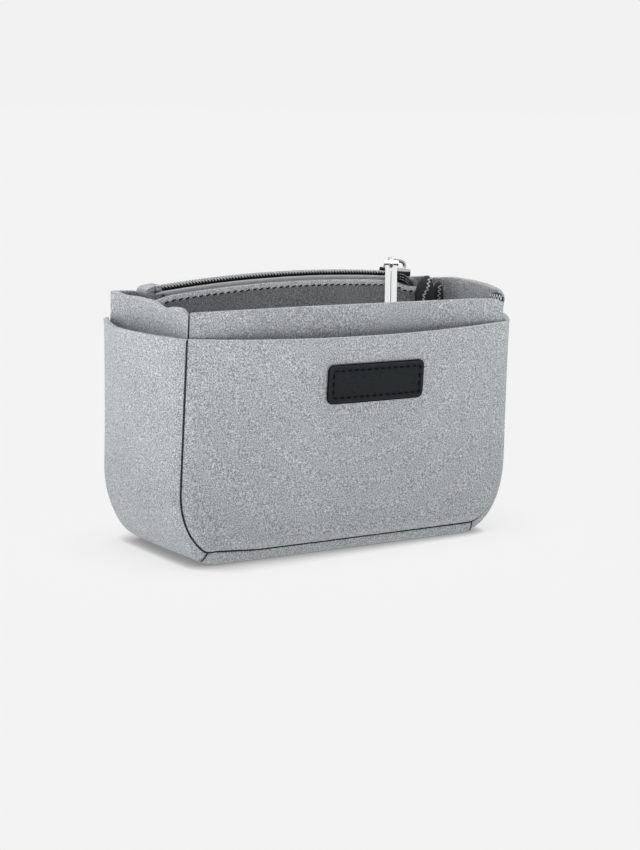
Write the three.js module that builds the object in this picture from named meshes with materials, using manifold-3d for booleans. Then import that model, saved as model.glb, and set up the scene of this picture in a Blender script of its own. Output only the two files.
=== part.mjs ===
// Felt purse organizer insert: an open-topped felt box with a slip pocket on every side,
// a zip pocket along the back wall, a stitched patch and a coil zip with a hanging bar pull.
// Millimetres, +Z up. X runs along the front from left to right, Y from the front to the back.
import * as THREE from 'three';
import { mergeVertices } from 'three/addons/utils/BufferGeometryUtils.js';
import Module from 'manifold-3d';

const wasm = await Module();
wasm.setup();
const { lerp, smoothstep, degToRad } = THREE.MathUtils;

// Felt box
const WIDTH = 160;              // between the front corner seams at the top edge
const DEPTH = 59;               // between the front and the back seam plane
const HEIGHT = 103;             // top edge of the front and end panels
const MOUTH_HEIGHT = 92.6;      // mouth of the slip pockets
const MOUTH_DIP = 2.2;          // how far the front and back mouths dip in the middle
const FELT = 2.4;               // felt thickness
const GAP = 0.3;                // clearance between layers that lie against each other
const SEAM_LIFT = 5.8;          // bottom seams above the floor
const CORNER_RUN = 18.8;        // rounded bottom corner, along X
const CORNER_RISE = 26;         // rounded bottom corner, along Z
const FLARE = 1.6;              // widening of each side from the top edge down to the corner, at the front
const BACK_SPREAD = 1.5;        // each top corner at the back, outwards from the one at the front
const BASE_ROLL = 10;           // strip of the base that curves up to a bottom seam
const EDGE_ROLL = 3.5;          // strip along a seam in which the felt is drawn in
const EDGE_SHARE = 0.35;        // share of the felt thickness that is left at a seam

// Bows of the soft walls, outwards positive, at mid-width of their top edges
const FRONT_POCKET_BOW = 4;
const BACK_POCKET_BOW = 6;
const FRONT_PANEL_BOW = -2.6;
const BACK_PANEL_BOW = 0;
const LEFT_PANEL_BOW = -2.5;
const LEFT_POCKET_BOW = 7;
const RIGHT_PANEL_BOW = 8;
const RIGHT_POCKET_BOW = 14.5;
const RIGHT_POCKET_GATHER = 1.25;  // above 1 the bow gathers at mid-depth
const LOW_PANEL_BOW = 2.5;      // end panels, at the top of the rounded corner
const LEFT_LOW_POCKET_BOW = 4;  // end pockets, at the top of the rounded corner
const RIGHT_LOW_POCKET_BOW = 6;
const END_CREST = 0.8;          // rise of an end panel's top edge at mid-depth
const BACK_CORNER_RISE = 2.2;   // back corners of the end panels above the front corners
const FRONT_CORNER_DROP = 2.8;  // rounding of the end panels' top edges at the front corners
const FRONT_CORNER_RUN = 8;

// Bound seam allowances inside the corners
const BINDING_WIDTH = 6;
const BINDING_THICKNESS = 3;
const BINDING_START = 2.3;      // along the diagonal of the corner
const BINDING_TOP_INSET = 1.5;  // front binding below the top edge
const BACK_BINDING_RISE = 1.5;  // back binding above the top edge
const BACK_BINDING_LEAN = 8;    // its top at the right end, away from the end panel

// Patch on the front pocket
const PATCH_LENGTH = 48.4;
const PATCH_HEIGHT = 15.5;
const PATCH_THICKNESS = 1.2;
const PATCH_CORNER = 2.4;
const PATCH_X = 6.8;
const PATCH_Z = 71.4;

// Zip: its chain lies on an arc in a plane along X
const ZIP_RADIUS = 640;
const ZIP_CREST_X = 9;
const ZIP_RISE = 7.6;           // crest of the chain's mid-plane above the end panels
const ZIP_LEFT_INSET = 16;      // left end of the coils from the left seam
const SLIDER_INSET = 22.5;      // closed slider from the right seam
const TAPE_THICKNESS = 0.5;
const TAPE_INNER = 1.9;         // inner edge of a tape from the chain's centre line
const TAPE_OUTER = 4.85;        // where a tape turns down along the felt
const TAPE_SKIRT = 7.5;         // sewn part of a tape below the turn
const TAPE_TAIL = 4;            // tape beyond the slider, at the right end
const TAPE_TAIL_DROP = 2.4;
const FELT_BELOW_CHAIN = 3;     // top edges of the zip pocket below the chain's mid-plane
const ZIP_PANEL_STRAIGHT = 0.9;  // share of the zip panel's width that lies along the tape
const FELT_END_DROP = 1.7;      // further drop of these edges beyond the ends of the zip

// Coils
const COIL_PITCH = 2.46;
const COIL_WIRE = 0.78;
const COIL_AXIS = 1.15;         // coil centre from the chain's centre line
const COIL_HALF_WIDTH = 1.6;    // to the middle of the wire
const COIL_HALF_HEIGHT = 0.55;
const COIL_LIFT = -0.15;        // coil centre from the chain's mid-plane
const COIL_STEPS = 8;
const COIL_SIDES = 5;

// Slider
const SLIDER_LENGTH = 13;
const SLIDER_CLEARANCE = 0.27;
const SLIDER_WALL = 0.8;
const SLIDER_PLATE = 0.9;
const SLIDER_CORNER = 2.6;
const SHOULDER_SPREAD = 1;      // widening of the slider from its tail to its mouths
const WEDGE_LENGTH = 5;
const WEDGE_HALF_WIDTH = 1.45;
const CROWN_HALF_LENGTH = 5.9;
const CROWN_HEIGHT = 4.1;
const CROWN_WIDTH = 1.25;
const CROWN_THICKNESS = 0.9;

// Pull
const LINK_SEAT = 3.1;          // link from the middle of the crown, along the zip
const LINK_YAW = -33;           // degrees
const LINK_SAG = 0.45;          // its round end below the middle of the crown's strap
const LINK_REACH = 9.6;         // between the centres of its round ends
const LINK_RADIUS = 1.6;        // of its round ends, to the middle of the strip
const LINK_STRIP = 0.6;
const LINK_WIDTH = 1.2;
const BAR_LENGTH = 32;
const BAR_WIDTH = 5.2;
const BAR_THICKNESS = 1.4;
const BAR_CORNER = 1.1;
const BAR_TILT = 18;            // degrees, lower end towards the front, where it clears the felt
const BAR_PLAIN = 1.2;          // plain metal at both ends of its grooves
const BAR_GROOVE = 0.5;
const BAR_GROOVE_DEPTH = 0.25;
const BARREL_LENGTH = 6.2;      // hinge barrel at the top of the bar
const BARREL_RADIUS = 1.25;
const BARREL_NECK = 0.95;       // radius inside the link

// Tab over the left end of the zip
const TAB_LENGTH = 7.5;
const TAB_HALF_WIDTH = 4.2;
const TAPE_IN_TAB = 3.6;
const TAPE_HEM = 0.25;          // sewn part of a tape that is left inside the tab

// Cells of the felt sheets
const STRAIGHT_CELLS = 5;
const CORNER_CELLS = 6;
const WALL_CELLS = 10;

const HALF_WIDTH = WIDTH / 2;
const HALF_DEPTH = DEPTH / 2;
const CORNER_TOP = SEAM_LIFT + CORNER_RISE;
const BASE_HALF = HALF_WIDTH + FLARE - CORNER_RUN;
const MITRE = GAP * 2 / 3;

// Layers as depths inside the seam surface: outer face, inner face, outer face at a sewn edge
const OUTER_LAYER = { outer: -FELT, inner: 0, sewn: -FELT * EDGE_SHARE };
const INNER_LAYER = { outer: GAP, inner: GAP + FELT, sewn: GAP };
const ZIP_LAYER = { outer: INNER_LAYER.inner + GAP, inner: INNER_LAYER.inner + GAP + FELT };
ZIP_LAYER.sewn = ZIP_LAYER.outer;

const felt = { color: 0x9fa4a6, roughness: 0.95, metalness: 0 };
const tapeFabric = { color: 0x5d6466, roughness: 0.9, metalness: 0 };
const nylon = { color: 0x3f4547, roughness: 0.45, metalness: 0 };
const bindingFabric = { color: 0x43494b, roughness: 0.9, metalness: 0 };
const patchLeather = { color: 0x2b3032, roughness: 0.6, metalness: 0 };
const polishedMetal = { color: 0xd4d6d8, roughness: 0.18, metalness: 1 };

const insert = new THREE.Group();

function addPiece(parent, name, geometry, look) {
  const mesh = new THREE.Mesh(geometry, new THREE.MeshStandardMaterial(look));
  mesh.name = name;
  parent.add(mesh);
  return mesh;
}

// Closed bodies from points

function signedVolume(points, triangles) {
  let volume = 0;
  const cross = new THREE.Vector3();
  for (const [a, b, c] of triangles) {
    volume += points[a].dot(cross.crossVectors(points[b], points[c])) / 6;
  }
  return volume;
}

function closedBody(points, triangles) {
  const outwards = signedVolume(points, triangles) > 0;
  const index = triangles.flatMap(([a, b, c]) => (outwards ? [a, b, c] : [a, c, b]));
  const geometry = new THREE.BufferGeometry();
  const coordinates = points.flatMap((point) => point.toArray());
  geometry.setAttribute('position', new THREE.Float32BufferAttribute(coordinates, 3));
  geometry.setIndex(index);
  geometry.computeVertexNormals();
  return geometry;
}

// Sheet of felt between two grids of points, closed along its rim.
function sheetBetween(outer, inner) {
  const rows = outer.length;
  const columns = outer[0].length;
  const points = [...outer.flat(), ...inner.flat()];
  const under = rows * columns;
  const at = (row, column) => row * columns + column;
  const triangles = [];
  for (let row = 0; row < rows - 1; row += 1) {
    for (let column = 0; column < columns - 1; column += 1) {
      const a = at(row, column);
      const b = at(row, column + 1);
      const c = at(row + 1, column);
      const d = at(row + 1, column + 1);
      triangles.push([a, b, d], [a, d, c]);
      triangles.push([under + a, under + d, under + b], [under + a, under + c, under + d]);
    }
  }
  const rim = [];
  for (let column = 0; column < columns - 1; column += 1) rim.push(at(0, column));
  for (let row = 0; row < rows - 1; row += 1) rim.push(at(row, columns - 1));
  for (let column = columns - 1; column > 0; column -= 1) rim.push(at(rows - 1, column));
  for (let row = rows - 1; row > 0; row -= 1) rim.push(at(row, 0));
  rim.forEach((a, i) => {
    const b = rim[(i + 1) % rim.length];
    triangles.push([b, a, under + a], [b, under + a, under + b]);
  });
  return closedBody(points, triangles);
}

// Bar through rings of points; each ring is seen whole from its first point.
function barThrough(rings) {
  const sides = rings[0].length;
  const points = rings.flat();
  const triangles = [];
  for (let ring = 0; ring < rings.length - 1; ring += 1) {
    for (let side = 0; side < sides; side += 1) {
      const a = ring * sides + side;
      const b = ring * sides + (side + 1) % sides;
      triangles.push([a, b, b + sides], [a, b + sides, a + sides]);
    }
  }
  const last = (rings.length - 1) * sides;
  for (let side = 1; side < sides - 1; side += 1) {
    triangles.push([0, side + 1, side], [last, last + side, last + side + 1]);
  }
  return closedBody(points, triangles);
}

function toSolid(geometry) {
  const bare = geometry.clone();
  bare.deleteAttribute('normal');
  bare.deleteAttribute('uv');
  const merged = mergeVertices(bare, 1e-4);
  return new wasm.Manifold(new wasm.Mesh({
    numProp: 3,
    vertProperties: new Float32Array(merged.attributes.position.array),
    triVerts: new Uint32Array(merged.index.array),
  }));
}

function toGeometry(solid) {
  const mesh = solid.getMesh();
  const geometry = new THREE.BufferGeometry();
  geometry.setAttribute('position', new THREE.BufferAttribute(mesh.vertProperties, 3));
  geometry.setIndex(new THREE.BufferAttribute(mesh.triVerts, 1));
  geometry.computeVertexNormals();
  return geometry;
}

function outline(points) {
  return new THREE.Shape(points.map(([x, y]) => new THREE.Vector2(x, y)));
}

function roundedRectangle(width, height, radius) {
  const x = width / 2;
  const y = height / 2;
  const shape = new THREE.Shape();
  shape.moveTo(-x + radius, -y);
  shape.lineTo(x - radius, -y);
  shape.absarc(x - radius, -y + radius, radius, -Math.PI / 2, 0, false);
  shape.lineTo(x, y - radius);
  shape.absarc(x - radius, y - radius, radius, 0, Math.PI / 2, false);
  shape.lineTo(-x + radius, y);
  shape.absarc(-x + radius, y - radius, radius, Math.PI / 2, Math.PI, false);
  shape.lineTo(-x, -y + radius);
  shape.absarc(-x + radius, -y + radius, radius, Math.PI, Math.PI * 1.5, false);
  return shape;
}

const PLAIN_EXTRUSION = { bevelEnabled: false, curveSegments: 4 };

// Plan outline raised from one height to another.
function raised(shape, from, to) {
  const geometry = new THREE.ExtrudeGeometry(shape, { ...PLAIN_EXTRUSION, depth: to - from });
  return geometry.translate(0, 0, from);
}

// Side outline in X and Z with a thickness along Y, centred.
function upright(shape, thickness) {
  const geometry = new THREE.ExtrudeGeometry(shape, { ...PLAIN_EXTRUSION, depth: thickness });
  return geometry.rotateX(Math.PI / 2).translate(0, thickness / 2, 0);
}

// Seam curve: the open-topped outline of the box in X and Z, shared by all panels

// Half the width of the box; toBack is 0 at the front seam and 1 at the back seam.
function halfWidthAt(z, toBack) {
  const risen = (z - CORNER_TOP) / (HEIGHT - CORNER_TOP);
  return HALF_WIDTH + FLARE * (1 - risen) + BACK_SPREAD * toBack * risen;
}

// Rows of a sheet: fall is the share of the straight side, turn that of the rounded corner.
function sheetRows() {
  const rows = [];
  for (let i = 0; i <= STRAIGHT_CELLS; i += 1) rows.push({ fall: i / STRAIGHT_CELLS, turn: 0 });
  for (let i = 1; i <= CORNER_CELLS; i += 1) rows.push({ fall: 1, turn: i / CORNER_CELLS });
  return rows;
}

function seamStation(top, row, toBack) {
  if (row.turn === 0) {
    const z = lerp(top, CORNER_TOP, row.fall);
    return { x: halfWidthAt(z, toBack), z, nx: 1, nz: 0 };
  }
  const angle = row.turn * Math.PI / 2;
  const normal = new THREE.Vector2(Math.cos(angle) / CORNER_RUN, -Math.sin(angle) / CORNER_RISE).normalize();
  return {
    x: BASE_HALF + CORNER_RUN * Math.cos(angle),
    z: CORNER_TOP - CORNER_RISE * Math.sin(angle),
    nx: normal.x,
    nz: normal.y,
  };
}

// Row of a sheet at a height.
function rowAt(z, top) {
  if (z > CORNER_TOP) return { fall: (top - z) / (top - CORNER_TOP), turn: 0 };
  const sine = Math.min(1, (CORNER_TOP - z) / CORNER_RISE);
  return { fall: 1, turn: Math.asin(sine) * 2 / Math.PI };
}

// Shares on both sides of the middle, and the middle itself.
const mirrored = (shares) => [...shares.map((share) => -share).reverse(), 0, ...shares];

// Columns from -1 to 1 with one more along each sewn edge.
function wallColumns() {
  const edge = 1 - EDGE_ROLL / HALF_WIDTH;
  const columns = [-1];
  for (let i = 0; i <= WALL_CELLS; i += 1) columns.push(lerp(-edge, edge, i / WALL_CELLS));
  columns.push(1);
  return columns;
}

// Columns across the depth: the middle, then the strips that roll to the seams.
function gussetColumns() {
  const flat = 1 - BASE_ROLL / HALF_DEPTH;
  const half = [flat / 2, flat, lerp(flat, 1, 1 / 3), lerp(flat, 1, 2 / 3), 1];
  return mirrored(half);
}

// Wall at the front (side -1) or the back (side 1) between the corner seams.
function wallSheet({ side, layer, top, bow, columns = wallColumns() }) {
  const face = (depth, sewn) => {
    const inset = sewn + MITRE;
    return sheetRows().map((row) => columns.map((share) => {
      const edge = seamStation(top(Math.sign(share) * HALF_WIDTH), row, (1 + side) / 2);
      const edgeX = edge.x - edge.nx * inset;
      const edgeZ = edge.z - edge.nz * inset;
      const x = share * edgeX;
      const z = row.turn === 0 ? lerp(top(x), CORNER_TOP, row.fall) : edgeZ;
      const toSeam = Math.min((1 - Math.abs(share)) * edgeX, edgeZ - SEAM_LIFT - inset);
      const sink = lerp(sewn, depth, smoothstep(toSeam, 0, EDGE_ROLL));
      return new THREE.Vector3(x, side * (HALF_DEPTH - sink + bow(share, row)), z);
    }));
  };
  return sheetBetween(face(layer.outer, layer.sewn), face(layer.inner, layer.inner));
}

// Fading of a wall's bow: full at the top edge, none at the bottom seam.
function fade(row) {
  const straight = HEIGHT - CORNER_TOP;
  const run = row.fall * straight + row.turn * CORNER_RISE;
  return Math.cos(run / (straight + CORNER_RISE) * Math.PI / 2);
}

const bowedWall = (amount) => (share, row) => amount * (1 - share ** 2) * fade(row);

// Bow of the base across the depth: flat in the middle, rolled up to the seams.
function baseBow(share) {
  const past = Math.max(0, Math.abs(share) * HALF_DEPTH - (HALF_DEPTH - BASE_ROLL));
  return (SEAM_LIFT - FELT) * (1 - Math.min(1, past / BASE_ROLL) ** 2);
}

function endBow(topBow, lowBow, gather = 1) {
  return (share, row) => {
    const wall = lerp(topBow, lowBow, Math.sqrt(row.fall)) * (1 - share ** 2) ** gather;
    return lerp(wall, baseBow(share), smoothstep(row.turn, 0, 1));
  };
}

// End wall (side -1 left, 1 right) with the rounded bottom corner, between the front and the back seam.
function endSheet({ side, layer, top, bow }) {
  const face = (depth, sewn) => {
    const reach = HALF_DEPTH - sewn - MITRE;
    return sheetRows().map((row) => gussetColumns().map((share) => {
      const station = seamStation(top(share), row, (1 + share) / 2);
      const sink = lerp(sewn, depth, smoothstep((1 - Math.abs(share)) * reach, 0, EDGE_ROLL));
      const out = bow(share, row) - sink;
      const x = side * (station.x + station.nx * out);
      return new THREE.Vector3(x, share * reach, station.z + station.nz * out);
    }));
  };
  return sheetBetween(face(layer.outer, layer.sewn), face(layer.inner, layer.inner));
}

function basePanel() {
  const face = (depth, sewn) => {
    const reach = HALF_DEPTH - sewn - MITRE;
    return [-1, 0, 1].map((end) => gussetColumns().map((share) => {
      const sink = lerp(sewn, depth, smoothstep((1 - Math.abs(share)) * reach, 0, EDGE_ROLL));
      const z = SEAM_LIFT - (baseBow(share) - sink);
      return new THREE.Vector3(end * (BASE_HALF - GAP), share * reach, z);
    }));
  };
  return sheetBetween(face(OUTER_LAYER.outer, OUTER_LAYER.sewn), face(OUTER_LAYER.inner, OUTER_LAYER.inner));
}

// Zip arc: along is the way along the chain from its crest, across is along Y, up is square to the arc

const ZIP_CREST_Z = HEIGHT + ZIP_RISE;
const ZIP_Y = HALF_DEPTH - INNER_LAYER.inner + BACK_PANEL_BOW - GAP - TAPE_OUTER;

function alongAt(x) {
  return ZIP_RADIUS * Math.asin((x - ZIP_CREST_X) / ZIP_RADIUS);
}

function zipPoint(along, across, up) {
  const angle = along / ZIP_RADIUS;
  const radius = ZIP_RADIUS + up;
  return new THREE.Vector3(
    ZIP_CREST_X + radius * Math.sin(angle),
    ZIP_Y + across,
    ZIP_CREST_Z - ZIP_RADIUS + radius * Math.cos(angle),
  );
}

function chainHeight(x) {
  return ZIP_CREST_Z - ZIP_RADIUS + Math.sqrt(ZIP_RADIUS ** 2 - (x - ZIP_CREST_X) ** 2);
}

const COIL_LEFT = -HALF_WIDTH + ZIP_LEFT_INSET;
const SLIDER_X = HALF_WIDTH - SLIDER_INSET;

// Top edge of the two felt walls that the tapes are sewn to.
function zipEdgeHeight(x) {
  const pastLeft = smoothstep(COIL_LEFT - x, -TAB_LENGTH / 4, TAB_LENGTH / 4);
  const pastRight = smoothstep(x - SLIDER_X, SLIDER_LENGTH / 2, SLIDER_LENGTH);
  return chainHeight(x) - FELT_BELOW_CHAIN - FELT_END_DROP * Math.max(pastLeft, pastRight);
}

// Felt walls and pockets

const wallTop = () => HEIGHT;
const pocketTop = (x) => MOUTH_HEIGHT - MOUTH_DIP * (1 - Math.min(1, Math.abs(x) / HALF_WIDTH) ** 2);
function endTop(share) {
  const fromFront = (1 + share) * HALF_DEPTH;
  const drop = FRONT_CORNER_DROP * Math.max(0, 1 - fromFront / FRONT_CORNER_RUN) ** 2;
  return HEIGHT + END_CREST * (1 - share ** 2) + BACK_CORNER_RISE * (1 + share) / 2 - drop;
}
const endMouth = () => MOUTH_HEIGHT;

addPiece(insert, 'front_panel', wallSheet({
  side: -1, layer: INNER_LAYER, top: wallTop, bow: bowedWall(FRONT_PANEL_BOW),
}), felt);
addPiece(insert, 'front_pocket', wallSheet({
  side: -1, layer: OUTER_LAYER, top: pocketTop, bow: bowedWall(FRONT_POCKET_BOW),
}), felt);
addPiece(insert, 'back_panel', wallSheet({
  side: 1, layer: INNER_LAYER, top: zipEdgeHeight, bow: bowedWall(BACK_PANEL_BOW),
}), felt);
addPiece(insert, 'back_pocket', wallSheet({
  side: 1, layer: OUTER_LAYER, top: pocketTop, bow: bowedWall(BACK_POCKET_BOW),
}), felt);

const ends = [
  {
    name: 'left',
    side: -1,
    panelBow: endBow(LEFT_PANEL_BOW, LOW_PANEL_BOW),
    pocketBow: endBow(LEFT_POCKET_BOW, LEFT_LOW_POCKET_BOW),
  },
  {
    name: 'right',
    side: 1,
    panelBow: endBow(RIGHT_PANEL_BOW, LOW_PANEL_BOW),
    pocketBow: endBow(RIGHT_POCKET_BOW, RIGHT_LOW_POCKET_BOW, RIGHT_POCKET_GATHER),
  },
];
for (const { name, side, panelBow, pocketBow } of ends) {
  addPiece(insert, `${name}_end_panel`, endSheet({
    side, layer: INNER_LAYER, top: endTop, bow: panelBow,
  }), felt);
  addPiece(insert, `${name}_end_pocket`, endSheet({
    side, layer: OUTER_LAYER, top: endMouth, bow: pocketBow,
  }), felt);
}
addPiece(insert, 'base_panel', basePanel(), felt);

// Front wall of the zip pocket: straight along the zip at its top, drawn back to the corner seams
const ZIP_PANEL_BOW = HALF_DEPTH - ZIP_LAYER.outer - (ZIP_Y - TAPE_OUTER - GAP);

function zipPanelBow(share, row) {
  const steep = 1 - smoothstep(Math.abs(share), ZIP_PANEL_STRAIGHT, 1);
  const round = 1 - share ** 4;
  return -ZIP_PANEL_BOW * lerp(steep, round, smoothstep(row.fall, 1 / STRAIGHT_CELLS, 1)) * fade(row);
}

const zipPanelColumns = mirrored([0.3, 0.58, 0.8, ZIP_PANEL_STRAIGHT, 0.95, 1]);
addPiece(insert, 'zip_pocket_panel', wallSheet({
  side: 1, layer: ZIP_LAYER, top: zipEdgeHeight, bow: zipPanelBow, columns: zipPanelColumns,
}), felt);

// Bound seam allowance along the front (side -1) or the back seam. Its section is given as distances
// from the inner faces of the end panel and of the wall; lean moves the top of its right end to the left.
function seamBinding({ side, section, top, wallBow, wallDepth, lean = 0 }) {
  const endReach = HALF_DEPTH - INNER_LAYER.inner - MITRE;
  const ring = (end, row) => section.map(([off, depth]) => {
    const seam = seamStation(top, row, (1 + side) / 2);
    const leaning = end.side > 0 ? lean * (1 - row.fall) ** 2 : 0;
    const inset = INNER_LAYER.inner + off + leaning;
    const share = (1 - seam.nx * inset / seam.x) * (1 - row.turn);
    const y = side * (HALF_DEPTH - wallDepth - depth + wallBow(share, rowAt(seam.z - seam.nz * inset, top)));
    const station = seamStation(top, row, (1 + y / endReach) / 2);
    const out = end.panelBow(y / endReach, row) - inset;
    return new THREE.Vector3(end.side * (station.x + station.nx * out), y, station.z + station.nz * out);
  });
  const rows = sheetRows();
  const left = rows.map((row) => ring(ends[0], row));
  const right = rows.map((row) => ring(ends[1], row)).reverse();
  return barThrough([...left, ...right]);
}

// At the front it stands on the diagonal of the corner.
const diagonal = (along, across) => [(along - across) * Math.SQRT1_2, (along + across) * Math.SQRT1_2];
addPiece(insert, 'front_seam_binding', seamBinding({
  side: -1,
  section: [
    diagonal(BINDING_START, BINDING_THICKNESS / 2),
    diagonal(BINDING_START, -BINDING_THICKNESS / 2),
    diagonal(BINDING_START + BINDING_WIDTH, -BINDING_THICKNESS / 2),
    diagonal(BINDING_START + BINDING_WIDTH, BINDING_THICKNESS / 2),
  ],
  top: HEIGHT - BINDING_TOP_INSET,
  wallBow: bowedWall(FRONT_PANEL_BOW),
  wallDepth: INNER_LAYER.inner,
}), bindingFabric);

// At the back it lies along the zip pocket, from its straight part to the end panel.
addPiece(insert, 'back_seam_binding', seamBinding({
  side: 1,
  section: [
    [GAP * 2, GAP],
    [GAP * 2 + BINDING_WIDTH, GAP],
    [GAP * 2 + BINDING_WIDTH, GAP + BINDING_THICKNESS],
    [GAP * 2, GAP + BINDING_THICKNESS],
  ],
  top: HEIGHT + BACK_BINDING_RISE,
  wallBow: (share, row) => zipPanelBow(Math.min(share, ZIP_PANEL_STRAIGHT), row),
  wallDepth: ZIP_LAYER.inner,
  lean: BACK_BINDING_LEAN,
}), bindingFabric);

// Patch: a thin plate with round corners that follows the front pocket.
function pocketFront(x, z) {
  const fall = (MOUTH_HEIGHT - z) / (MOUTH_HEIGHT - CORNER_TOP);
  return -(HALF_DEPTH + FELT + bowedWall(FRONT_POCKET_BOW)(x / halfWidthAt(z, 0), { fall, turn: 0 }));
}

function patch() {
  const fromEdge = [0, 0.3, 1].map((share) => share * PATCH_CORNER);
  const lower = fromEdge.map((distance) => distance - PATCH_HEIGHT / 2);
  const heights = [...lower, ...lower.map((height) => -height).reverse()];
  const face = (lift) => heights.map((height) => {
    const rounded = Math.max(0, PATCH_CORNER - (PATCH_HEIGHT / 2 - Math.abs(height)));
    const halfLength = PATCH_LENGTH / 2 - PATCH_CORNER + Math.sqrt(PATCH_CORNER ** 2 - rounded ** 2);
    return [-1, -0.6, -0.2, 0.2, 0.6, 1].map((share) => {
      const x = PATCH_X + share * halfLength;
      const z = PATCH_Z + height;
      return new THREE.Vector3(x, pocketFront(x, z) - lift, z);
    });
  });
  return sheetBetween(face(GAP + PATCH_THICKNESS), face(GAP));
}
addPiece(insert, 'label_patch', patch(), patchLeather);

// Zip tapes: flat under the coil, turned down along the felt, with a tail beyond the slider
const COIL_BOTTOM = COIL_LIFT - COIL_HALF_HEIGHT - COIL_WIRE / 2;
const COIL_TOP = COIL_LIFT + COIL_HALF_HEIGHT + COIL_WIRE / 2;
const TAPE_TOP = COIL_BOTTOM - GAP / 2;
const TAPE_BOTTOM = TAPE_TOP - TAPE_THICKNESS;
const TAB_RIGHT = COIL_LEFT - GAP;

function zipTape(side) {
  const left = alongAt(TAB_RIGHT - TAPE_IN_TAB);
  const skirtLeft = alongAt(TAB_RIGHT);
  const mouth = alongAt(SLIDER_X + SLIDER_LENGTH / 2 + GAP);
  const skirtRight = mouth - SLIDER_LENGTH;
  const stations = [left, skirtLeft, skirtLeft + TAPE_SKIRT];
  const cells = 10;
  for (let i = 1; i <= cells; i += 1) stations.push(lerp(skirtLeft + TAPE_SKIRT, skirtRight, i / cells));
  stations.push(mouth - SLIDER_LENGTH / 2, mouth, mouth + TAPE_TAIL / 2, mouth + TAPE_TAIL);
  const rings = stations.map((along) => {
    const skirt = Math.min(1, (along - skirtLeft) / TAPE_SKIRT, (mouth - along) / SLIDER_LENGTH);
    const hem = TAPE_BOTTOM - Math.max(TAPE_HEM, TAPE_SKIRT * skirt);
    const drop = TAPE_TAIL_DROP * Math.max(0, (along - mouth) / TAPE_TAIL) ** 2;
    const turn = TAPE_OUTER - TAPE_THICKNESS;
    return [
      [turn, TAPE_BOTTOM], [TAPE_INNER, TAPE_BOTTOM], [TAPE_INNER, TAPE_TOP],
      [TAPE_OUTER, TAPE_TOP], [TAPE_OUTER, hem], [turn, hem],
    ].map(([across, up]) => zipPoint(along, side * across, up - drop));
  });
  return barThrough(rings);
}
addPiece(insert, 'zip_tape_front', zipTape(-1), tapeFabric);
addPiece(insert, 'zip_tape_back', zipTape(1), tapeFabric);

// Coils: each is one wound thread, and the turns of one lie between the turns of the other
const COIL_END = alongAt(SLIDER_X) - SLIDER_CLEARANCE;
const COIL_START = alongAt(COIL_LEFT) + GAP;
const COIL_TURNS = Math.round((COIL_END - COIL_START) / COIL_PITCH - 0.5);
const COIL_ADVANCE = (COIL_END - COIL_START - COIL_WIRE) / (COIL_TURNS + 0.5);

function coilLine(side) {
  const start = COIL_START + COIL_WIRE / 2 + (side > 0 ? COIL_ADVANCE / 2 : 0);
  const line = [];
  for (let step = 0; step <= COIL_TURNS * COIL_STEPS; step += 1) {
    const turn = step / COIL_STEPS;
    const angle = turn * 2 * Math.PI;
    const radial = new THREE.Vector3(
      0,
      -side * Math.cos(angle) * COIL_HALF_HEIGHT,
      Math.sin(angle) * COIL_HALF_WIDTH,
    ).normalize();
    const centre = new THREE.Vector3(
      start + turn * COIL_ADVANCE,
      side * (COIL_AXIS - COIL_HALF_WIDTH * Math.cos(angle)),
      COIL_LIFT + COIL_HALF_HEIGHT * Math.sin(angle),
    );
    const heading = new THREE.Vector3(
      COIL_ADVANCE / (2 * Math.PI),
      side * COIL_HALF_WIDTH * Math.sin(angle),
      COIL_HALF_HEIGHT * Math.cos(angle),
    ).normalize();
    line.push({ centre, radial, heading });
  }
  return line;
}

function coil(line) {
  const rings = line.map(({ centre, radial, heading }) => {
    const binormal = new THREE.Vector3().crossVectors(heading, radial).normalize();
    const ring = [];
    for (let i = 0; i < COIL_SIDES; i += 1) {
      const angle = i / COIL_SIDES * 2 * Math.PI;
      const point = centre.clone()
        .addScaledVector(radial, Math.cos(angle) * COIL_WIRE / 2)
        .addScaledVector(binormal, Math.sin(angle) * COIL_WIRE / 2);
      ring.push(zipPoint(point.x, point.y, point.z));
    }
    return ring;
  });
  return barThrough(rings);
}

// Least clear distance between two stretches of thread, measured on the points of their centre lines.
function leastGap(line, other, apart) {
  let least = Infinity;
  line.forEach((a, i) => other.forEach((b, j) => {
    if (line === other && Math.abs(i - j) < apart) return;
    least = Math.min(least, a.centre.distanceTo(b.centre));
  }));
  return least - COIL_WIRE;
}

const frontLine = coilLine(-1);
const backLine = coilLine(1);
const apart = COIL_STEPS * 0.6;
const ownGap = Math.min(leastGap(frontLine, frontLine, apart), leastGap(backLine, backLine, apart));
console.log(`zip coils: ${COIL_TURNS} turns each, least gap to itself ${ownGap.toFixed(2)} mm,`
  + ` to the other coil ${leastGap(frontLine, backLine, 0).toFixed(2)} mm`);
addPiece(insert, 'zip_coil_front', coil(frontLine), nylon);
addPiece(insert, 'zip_coil_back', coil(backLine), nylon);

// Felt tab folded over the left end of the zip, open to the right for the tapes
function tab() {
  const right = TAB_LENGTH / 2;
  const top = TAPE_TOP + GAP + FELT;
  const slotTop = TAPE_TOP + GAP;
  const slotBottom = TAPE_BOTTOM - TAPE_HEM - GAP;
  const bottom = Math.max(slotBottom - FELT, GAP - FELT_BELOW_CHAIN - FELT_END_DROP);
  const fold = (top - bottom) / 2;
  const shape = new THREE.Shape();
  shape.moveTo(right, top);
  shape.lineTo(fold - right, top);
  shape.absarc(fold - right, (top + bottom) / 2, fold, Math.PI / 2, Math.PI * 1.5, false);
  shape.lineTo(right, bottom);
  shape.lineTo(right, slotBottom);
  shape.lineTo(right - TAPE_IN_TAB - GAP, slotBottom);
  shape.lineTo(right - TAPE_IN_TAB - GAP, slotTop);
  shape.lineTo(right, slotTop);
  return upright(shape, TAB_HALF_WIDTH * 2);
}
const tabAlong = alongAt(TAB_RIGHT) - TAB_LENGTH / 2;
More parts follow.
